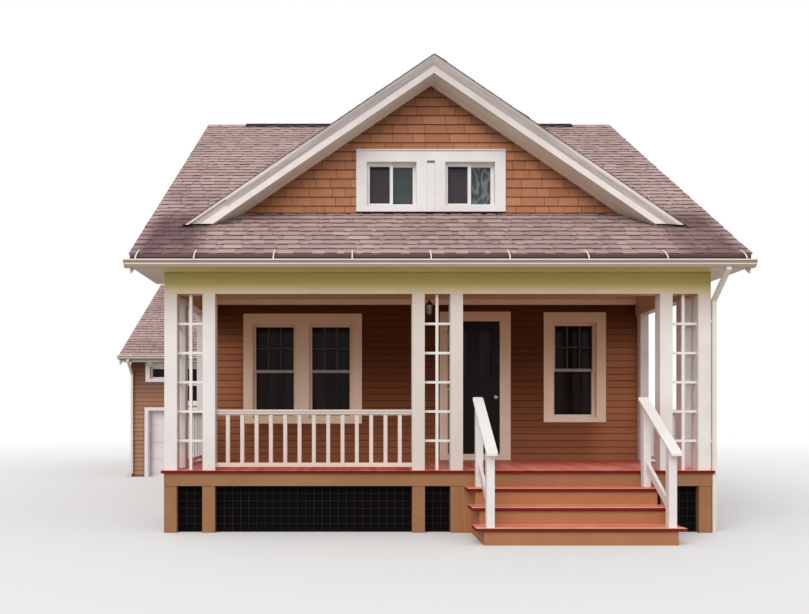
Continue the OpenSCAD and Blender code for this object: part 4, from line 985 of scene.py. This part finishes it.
# A closed bar through a row of outlines that all have the same number of points
def lofted(name, outlines):
    work = bmesh.new()
    rings = [[work.verts.new(point) for point in outline] for outline in outlines]
    for one, two in zip(rings, rings[1:]):
        for i in range(len(one)):
            j = (i + 1) % len(one)
            work.faces.new((one[i], one[j], two[j], two[i]))
    work.faces.new(rings[0][::-1])
    work.faces.new(rings[-1])
    bmesh.ops.recalc_face_normals(work, faces=work.faces[:])
    mesh = bpy.data.meshes.new(name)
    work.to_mesh(mesh)
    work.free()
    return link(bpy.data.objects.new(name, mesh))


whole = (1.0, 1.0, 1.0)
noTurn = (0.0, 0.0, 0.0)


def setForms(name, form, rows, slot, tilt=0.0, seed=1):
    piece = grown(name, pointMesh(name + "_points", rows), placeTree, {
        "Form": form, "Tilt": tilt, "Seed": seed, "Material": finishes[slot]})
    bpy.data.objects.remove(form)
    return piece


# Cap shingles folded over each ridge, laid from one end with the same exposure as the slopes
caps = {
    "reach": 0.13, "thick": 0.004, "lift": 0.005, "endLift": 0.003, "raise": 0.006, "lap": 0.035,
    "bend": 0.018, "round": 0.6, "over": 0.012, "tilt": 0.006, "gableFront": 0.04,
    "gableBack": 0.05}


def capForm(slope):
    outlines = []
    for along, rise in ((0.0, caps["lift"]), (roofing["exposure"] + caps["lap"], caps["endLift"])):
        top = []
        for x in (-caps["reach"], -caps["bend"], 0.0, caps["bend"], caps["reach"]):
            drop = caps["round"] * slope * caps["bend"] if x == 0.0 else slope * abs(x)
            top.append((x, along, rise + caps["thick"] - drop + caps["raise"]))
        outlines.append(top + [(x, y, z - caps["thick"] - rise) for x, y, z in top[::-1]])
    return lofted("cap_form", outlines)


# From start to end along a level ridge
def ridgeCaps(name, slope, runs, seed):
    pieces = []
    for start, end in runs:
        way = Vector(end) - Vector(start)
        turn = (0.0, 0.0, math.atan2(way.y, way.x) - math.pi / 2)
        count = round(way.length / roofing["exposure"])
        step = (way.length - roofing["exposure"] - caps["lap"]) / max(count - 1, 1)
        rows = [(Vector(start) + way.normalized() * step * i, whole, turn, rand.random())
                for i in range(count)]
        pieces.append(setForms(name, capForm(slope), rows, "roof_shingle", caps["tilt"], seed))
    return settle(joined(name, pieces))


ventEnd = high("ridge_vent").x
ridgeEnd = roofHalfW + caps["over"]
ridgeCaps("ridge_caps", pitch, [
    ((side * ridgeEnd, ridgeY, ridgeZ), (side * ventEnd, ridgeY, ridgeZ)) for side in (-1, 1)], 21)
gableBack = eaveY + (gablePeakZ - eaveZ) / pitch
ridgeCaps("gable_ridge_caps", gablePitch, [
    ((0, crownY + caps["gableFront"], gablePeakZ),
     (0, gableBack + caps["gableBack"], gablePeakZ))], 22)
ridgeCaps("wing_ridge_caps", wingPitch, [
    ((wingRoofLo.x - caps["over"], wingRidgeY, wingRoofHi.z),
     (wingRoofHi.x + caps["over"], wingRidgeY, wingRoofHi.z))], 23)


# A straight bar from start, as long as along, with its face towards outward
def bar(start, along, outward, width):
    along = Vector(along)
    z = along.normalized()
    y = -Vector(outward)
    turn = Matrix((y.cross(z), y, z)).transposed().to_euler()
    return (Vector(start), (width, 1.0, along.length), turn, 0.5)


# Bars that face the front, level or upright
def levelBar(x0, x1, y, z, width):
    return bar((x0, y, z), (x1 - x0, 0, 0), (0, -1, 0), width)


def uprightBar(x, y, z0, z1, width):
    return bar((x, y, z0), (0, 0, z1 - z0), (0, -1, 0), width)


def layBars(name, rows, slot, thick, **more):
    return layBoards(name, rows, slot, {"butt": thick, "taper": 0.0}, **more)


# Thin metal drip edges under the shingles of each rake
drip = {"wide": 0.03, "thick": 0.004, "share": 0.6}
dripDrop = drip["wide"] * drip["share"]
dripRows = []
for side in (-1, 1):
    for foot in (eaveY, rearEaveY):
        if side < 0 and foot == rearEaveY:
            foot = valleyY           # the wing roof meets the rear slope there
        start = (side * roofHalfW, foot, roofZ(foot) - dripDrop)
        way = (0, ridgeY - foot, ridgeZ - roofZ(foot))
        dripRows.append(bar(start, way, (side, 0, 0), drip["wide"]))
for foot in (wingRoofLo.y, wingRoofHi.y):
    way = (0, wingRidgeY - foot, wingRoofHi.z - wingEaveZ)
    dripRows.append(bar((wingRoofLo.x, foot, wingEaveZ - dripDrop), way, (-1, 0, 0), drip["wide"]))
layBars("drip_edges", dripRows, "white_metal", drip["thick"])

# Bent straps that hold the front gutter to the roof
strap = {
    "wide": 0.015, "thick": 0.003, "steps": 12, "end": (0.178, 0.143), "knee": (0.012, 0.06),
    "out": 0.103, "foot": 3.303,
    "places": (3.616, 2.682, 1.748, 0.814, -0.12, -1.054, -1.988, -2.93, -3.62)}


def strapForm():
    knee = Vector((0, *strap["knee"]))
    end = Vector((0, *strap["end"]))
    half = Vector((strap["wide"] / 2, 0, 0))
    outlines = []
    for i in range(strap["steps"] + 1):
        t = i / strap["steps"]
        centre = knee * (2 * t * (1 - t)) + end * (t * t)
        lean = (knee * (2 * (1 - 2 * t)) + end * (2 * t)).normalized()
        outward = Vector((0, -lean.z, lean.y)) * strap["thick"]
        outlines.append([centre - half, centre + half, centre + half + outward,
                         centre - half + outward])
    return lofted("strap_form", outlines)


strapY = eaveY - strap["out"]
strapRows = [((x, strapY, strap["foot"]), whole, noTurn, 0.5) for x in strap["places"]]
settle(setForms("gutter_straps", strapForm(), strapRows, "white_metal"))

# Starter edge under the first course of the front slope, dark as painted shade above the gutter, with a
# lighter band along its top
edge = {"wide": 0.046, "thick": 0.006, "band": (eaveZ - 0.014, eaveZ + 0.01, rgb(140, 115, 110))}
edgePaint = trimPaint("starter_edge_paint", shades(
    (78, 55, 52), (68, 47, 44), (56, 40, 38), bands=[edge["band"]]))
edgeRow = levelBar(-roofHalfW, roofHalfW, eaveY, eaveZ - edge["wide"] / 2, edge["wide"])
layBars("starter_edge", [edgeRow], "roof_shingle", edge["thick"], material=edgePaint)

# Glazing bars in the upper sash of each hung window, and the rail where the sashes meet, dark grey as
# painted shade on white bars
glazing = {
    "jamb": 0.018, "stile": 0.042, "bar": 0.02, "thick": 0.016, "columns": 3, "depth": 0.072,
    "rail": 0.044, "railThick": 0.004, "railDepth": 0.04}
barRows = []
railRows = []
glassHalf = windowW / 2 - glazing["jamb"] - glazing["stile"]
for wall, centre, foot, height in hungWindows:
    facing, plane = walls[wall]
    turn = math.radians(facing)
    outward = Vector((round(math.sin(turn)), -round(math.cos(turn)), 0))
    through = Vector([abs(c) for c in outward])
    aside = through.yxz
    middle = through * plane + aside * centre
    meet = foot + height / 2
    glassLow = meet + glazing["stile"] / 2
    glassHigh = foot + height - glazing["jamb"] - glazing["stile"]
    behind = middle - outward * glazing["depth"]
    across = aside * glassHalf
    for k in range(1, glazing["columns"]):
        start = behind + across * (2 * k / glazing["columns"] - 1) + Vector((0, 0, glassLow))
        barRows.append(bar(start, (0, 0, glassHigh - glassLow), outward, glazing["bar"]))
    for rows, start, z, width in (
            (barRows, behind, (glassLow + glassHigh) / 2, glazing["bar"]),
            (railRows, middle - outward * glazing["railDepth"], meet, glazing["rail"])):
        rows.append(bar(start - across + Vector((0, 0, z)), across * 2, outward, width))
barPaint = plainPaint("glazing_bar_paint", (52, 47, 47), (64, 58, 58), 0.5, shine=0.3)
railPaint = plainPaint("meeting_rail_paint", (134, 124, 121), (150, 140, 137), 0.5)
layBars("glazing_bars", barRows, "trim_paint", glazing["thick"], material=barPaint)
layBars("meeting_rails", railRows, "trim_paint", glazing["railThick"], material=railPaint)

# Floor boards of the porch, side by side from front to back, the last one cut for the downspout
boards = {"wide": 0.083, "gap": 0.0025, "notchX": 3.382, "notchY": (-2.0625, -2.0025)}
floorLo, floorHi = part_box("porch_floor")
floorRows = []
count = round((floorHi.x - floorLo.x) / boards["wide"])
pitchX = (floorHi.x - floorLo.x) / count
for i in range(count):
    a = floorLo.x + i * pitchX
    b = a + pitchX - boards["gap"]
    tone = rand.random()
    runs = [(a, b, floorLo.y, floorHi.y)]
    if i == count - 1:
        inner, (front, rear) = boards["notchX"], boards["notchY"]
        runs = [(a, inner, floorLo.y, floorHi.y), (inner, b, rear, floorHi.y),
                (inner, b, floorLo.y, front)]
    for x0, x1, y0, y1 in runs:
        point = ((x0 + x1) / 2, y0, floorLo.z)
        floorRows.append((point, (x1 - x0, 1.0, y1 - y0), (-math.pi / 2, 0, 0), tone))
floorBoards = layBars("porch_floor_boards", floorRows, "red_paint", floorHi.z - floorLo.z)
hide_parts("porch_floor")

# Fine black mesh behind the grids under the porch
mesh = {
    "thick": 0.002, "wide": 0.578, "z": 0.29, "y": -1.967, "sideX": 3.267, "sideFront": -1.93,
    "sideLong": 1.8, "bays": ((-3.25, -0.1), (-0.1, 0.3), (2.6, 3.25))}
meshRows = [bar((side * mesh["sideX"], mesh["sideFront"], mesh["z"]), (0, mesh["sideLong"], 0),
                (side, 0, 0), mesh["wide"]) for side in (-1, 1)]
meshRows += [levelBar(x0, x1, mesh["y"], mesh["z"], mesh["wide"]) for x0, x1 in mesh["bays"]]
meshBlack = plainPaint("mesh_black", (12, 10, 10), (18, 15, 14), 0.9, 30.0, 0.6, 0.05)
layBars("grid_mesh", meshRows, "dark_grid", mesh["thick"], material=meshBlack)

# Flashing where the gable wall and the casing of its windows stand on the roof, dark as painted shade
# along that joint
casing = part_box("gable_window")
casingY = casing[0].y + 0.02       # the drip cap stands that much in front of the casing
flashing = {"wide": 0.02, "thick": 0.004, "wallWide": 0.019}
flashRow = levelBar(casing[0].x, casing[1].x, casingY, casing[0].z - flashing["wide"] / 2,
                    flashing["wide"])
layBars("gable_flashing", [flashRow], "vent_black", flashing["thick"])
footReach = (gableTop - gableFoot - flashing["wallWide"]) / gablePitch
footY = gableWallY - gableShingles["butt"]
footRows = [levelBar(x0, x1, footY, gableFoot + flashing["wallWide"] / 2, flashing["wallWide"])
            for x0, x1 in ((-footReach, casing[0].x), (casing[1].x, footReach))]
flashPaint = plainPaint("flashing_brown", (92, 60, 52), (106, 72, 62), 0.85, shine=0.15)
layBars("gable_foot_flashing", footRows, "vent_black", flashing["thick"], material=flashPaint)

# Slot vent and board joints on the panel between the gable windows
panel = {
    "slotHalf": 0.052, "slotZ": (4.828, 4.858), "foot": 4.18, "joint": 0.004, "proud": 0.001,
    "slotProud": 0.004}
slotFoot, slotTop = panel["slotZ"]
slotPaint = plainPaint("slot_grey", (120, 114, 112), (96, 90, 88), 0.6)
jointPaint = plainPaint("joint_grey", (190, 184, 182), (204, 198, 196), 0.6)
slotRow = levelBar(-panel["slotHalf"], panel["slotHalf"], casingY, (slotFoot + slotTop) / 2,
                   slotTop - slotFoot)
layBars("gable_slot_vent", [slotRow], "trim_paint", panel["slotProud"], material=slotPaint)
jointRows = [uprightBar(x, casingY, panel["foot"], slotFoot, panel["joint"])
             for x in (-panel["slotHalf"], panel["slotHalf"])]
layBars("gable_panel_joints", jointRows, "trim_paint", panel["proud"], material=jointPaint)

# Round lamp under the wing's front eave, spun from its outline
lamp = {
    "x": -5.684, "y": 5.9, "sides": 24, "outline": [
        (0.005, -0.062), (0.04, -0.058), (0.062, -0.045), (0.072, -0.022), (0.076, -0.02),
        (0.078, 0.0)]}
lampTurns = [2 * math.pi * k / lamp["sides"] for k in range(lamp["sides"])]
lampForm = lofted("lamp_form", [
    [(radius * math.cos(turn), radius * math.sin(turn), z) for turn in lampTurns]
    for radius, z in lamp["outline"]])
lampRows = [((lamp["x"], lamp["y"], wingSoffitZ), whole, noTurn, 0.5)]
settle(setForms("wing_soffit_lamp", lampForm, lampRows, "white_metal"))

# Raised mouldings round the lights of the front door and the panels below them
moulding = {
    "wide": 0.018, "thick": 0.007, "half": 0.1, "out": 0.173, "mid": 0.777, "face": -0.02,
    "rows": ((2.02, 2.697), (1.12, 1.78))}
mouldRows = []
for x in (moulding["mid"] - moulding["out"], moulding["mid"] + moulding["out"]):
    wide, half, face = moulding["wide"], moulding["half"], moulding["face"]
    for z0, z1 in moulding["rows"]:
        mouldRows += [uprightBar(x + aside, face, z0 - wide, z1 + wide, wide)
                      for aside in (-half, half)]
        mouldRows += [levelBar(x - half + wide / 2, x + half - wide / 2, face, z, wide)
                      for z in (z0 - wide / 2, z1 + wide / 2)]
layBars("door_mouldings", mouldRows, "door_black", moulding["thick"], body="door")


# Studio: pale floor that fades to white, soft lights, and the camera
studio = {
    "floorRadius": 60.0, "fade": (14.0, 34.0), "sky": 0.8, "key": 1.7, "keyWide": 50,
    "keyTurn": (52, 0, -24), "floorSeen": 0.78, "floorBounce": 0.4}


def buildStudio():
    bpy.ops.mesh.primitive_circle_add(vertices=96, radius=studio["floorRadius"], fill_type="NGON")
    floor = bpy.context.object
    floor.data.materials.clear()
    floor.name = "studio_floor"
    paint = Paint("studio_floor")
    centred = paint.add("ShaderNodeVectorMath", {"operation": "LENGTH"}, {0: paint.place},
                        out="Value")
    rays = paint.add("ShaderNodeLightPath")
    seen = rays | rays.out("Is Glossy Ray")
    shown = paint.mix(seen, grey(studio["floorBounce"]), grey(studio["floorSeen"]))
    matte = paint.add("ShaderNodeBsdfDiffuse", sockets={"Color": shown})
    white = paint.add("ShaderNodeEmission", sockets={"Color": grey(1.0), "Strength": 1.0})
    blend = paint.add("ShaderNodeMixShader", sockets={
        0: paint.level(centred, *studio["fade"]) * seen, 1: matte, 2: white})
    paint.add("ShaderNodeOutputMaterial", sockets={"Surface": blend})
    floor.data.materials.append(paint.material)

    world = bpy.data.worlds.new("studio")
    bpy.context.scene.world = world
    world.use_nodes = True
    sky = Graph(world.node_tree)
    rays = sky.add("ShaderNodeLightPath")
    seen = rays | rays.out("Is Glossy Ray") | rays.out("Is Transmission Ray")
    plain, bright = [
        sky.add("ShaderNodeBackground", sockets={"Color": grey(1.0), "Strength": strength})
        for strength in (studio["sky"], 1.0)]
    blend = sky.add("ShaderNodeMixShader", sockets={0: seen, 1: plain, 2: bright})
    sky.add("ShaderNodeOutputWorld", sockets={"Surface": blend})

    key = bpy.data.lights.new("key", "SUN")
    key.energy = studio["key"]
    key.angle = math.radians(studio["keyWide"])
    keyHolder = link(bpy.data.objects.new("key", key))
    keyHolder.rotation_euler = [math.radians(angle) for angle in studio["keyTurn"]]


view = {
    "focal": 745.0, "imageW": 809, "imageH": 614, "vanish": (352, 413),
    "place": (-1.057, -11.25, 1.478), "sensor": 36.0}


def buildCamera():
    data = bpy.data.cameras.new("view")
    data.sensor_width = view["sensor"]
    data.lens = view["focal"] / view["imageW"] * view["sensor"]
    data.shift_x = (view["imageW"] / 2 - view["vanish"][0]) / view["imageW"]
    data.shift_y = (view["vanish"][1] - view["imageH"] / 2) / view["imageW"]
    data.clip_end = 200
    camera = link(bpy.data.objects.new("view", data))
    camera.location = view["place"]
    camera.rotation_euler = (math.radians(90), 0, 0)
    bpy.context.scene.camera = camera


buildStudio()
buildCamera()
bpy.context.scene.view_settings.view_transform = "Standard"
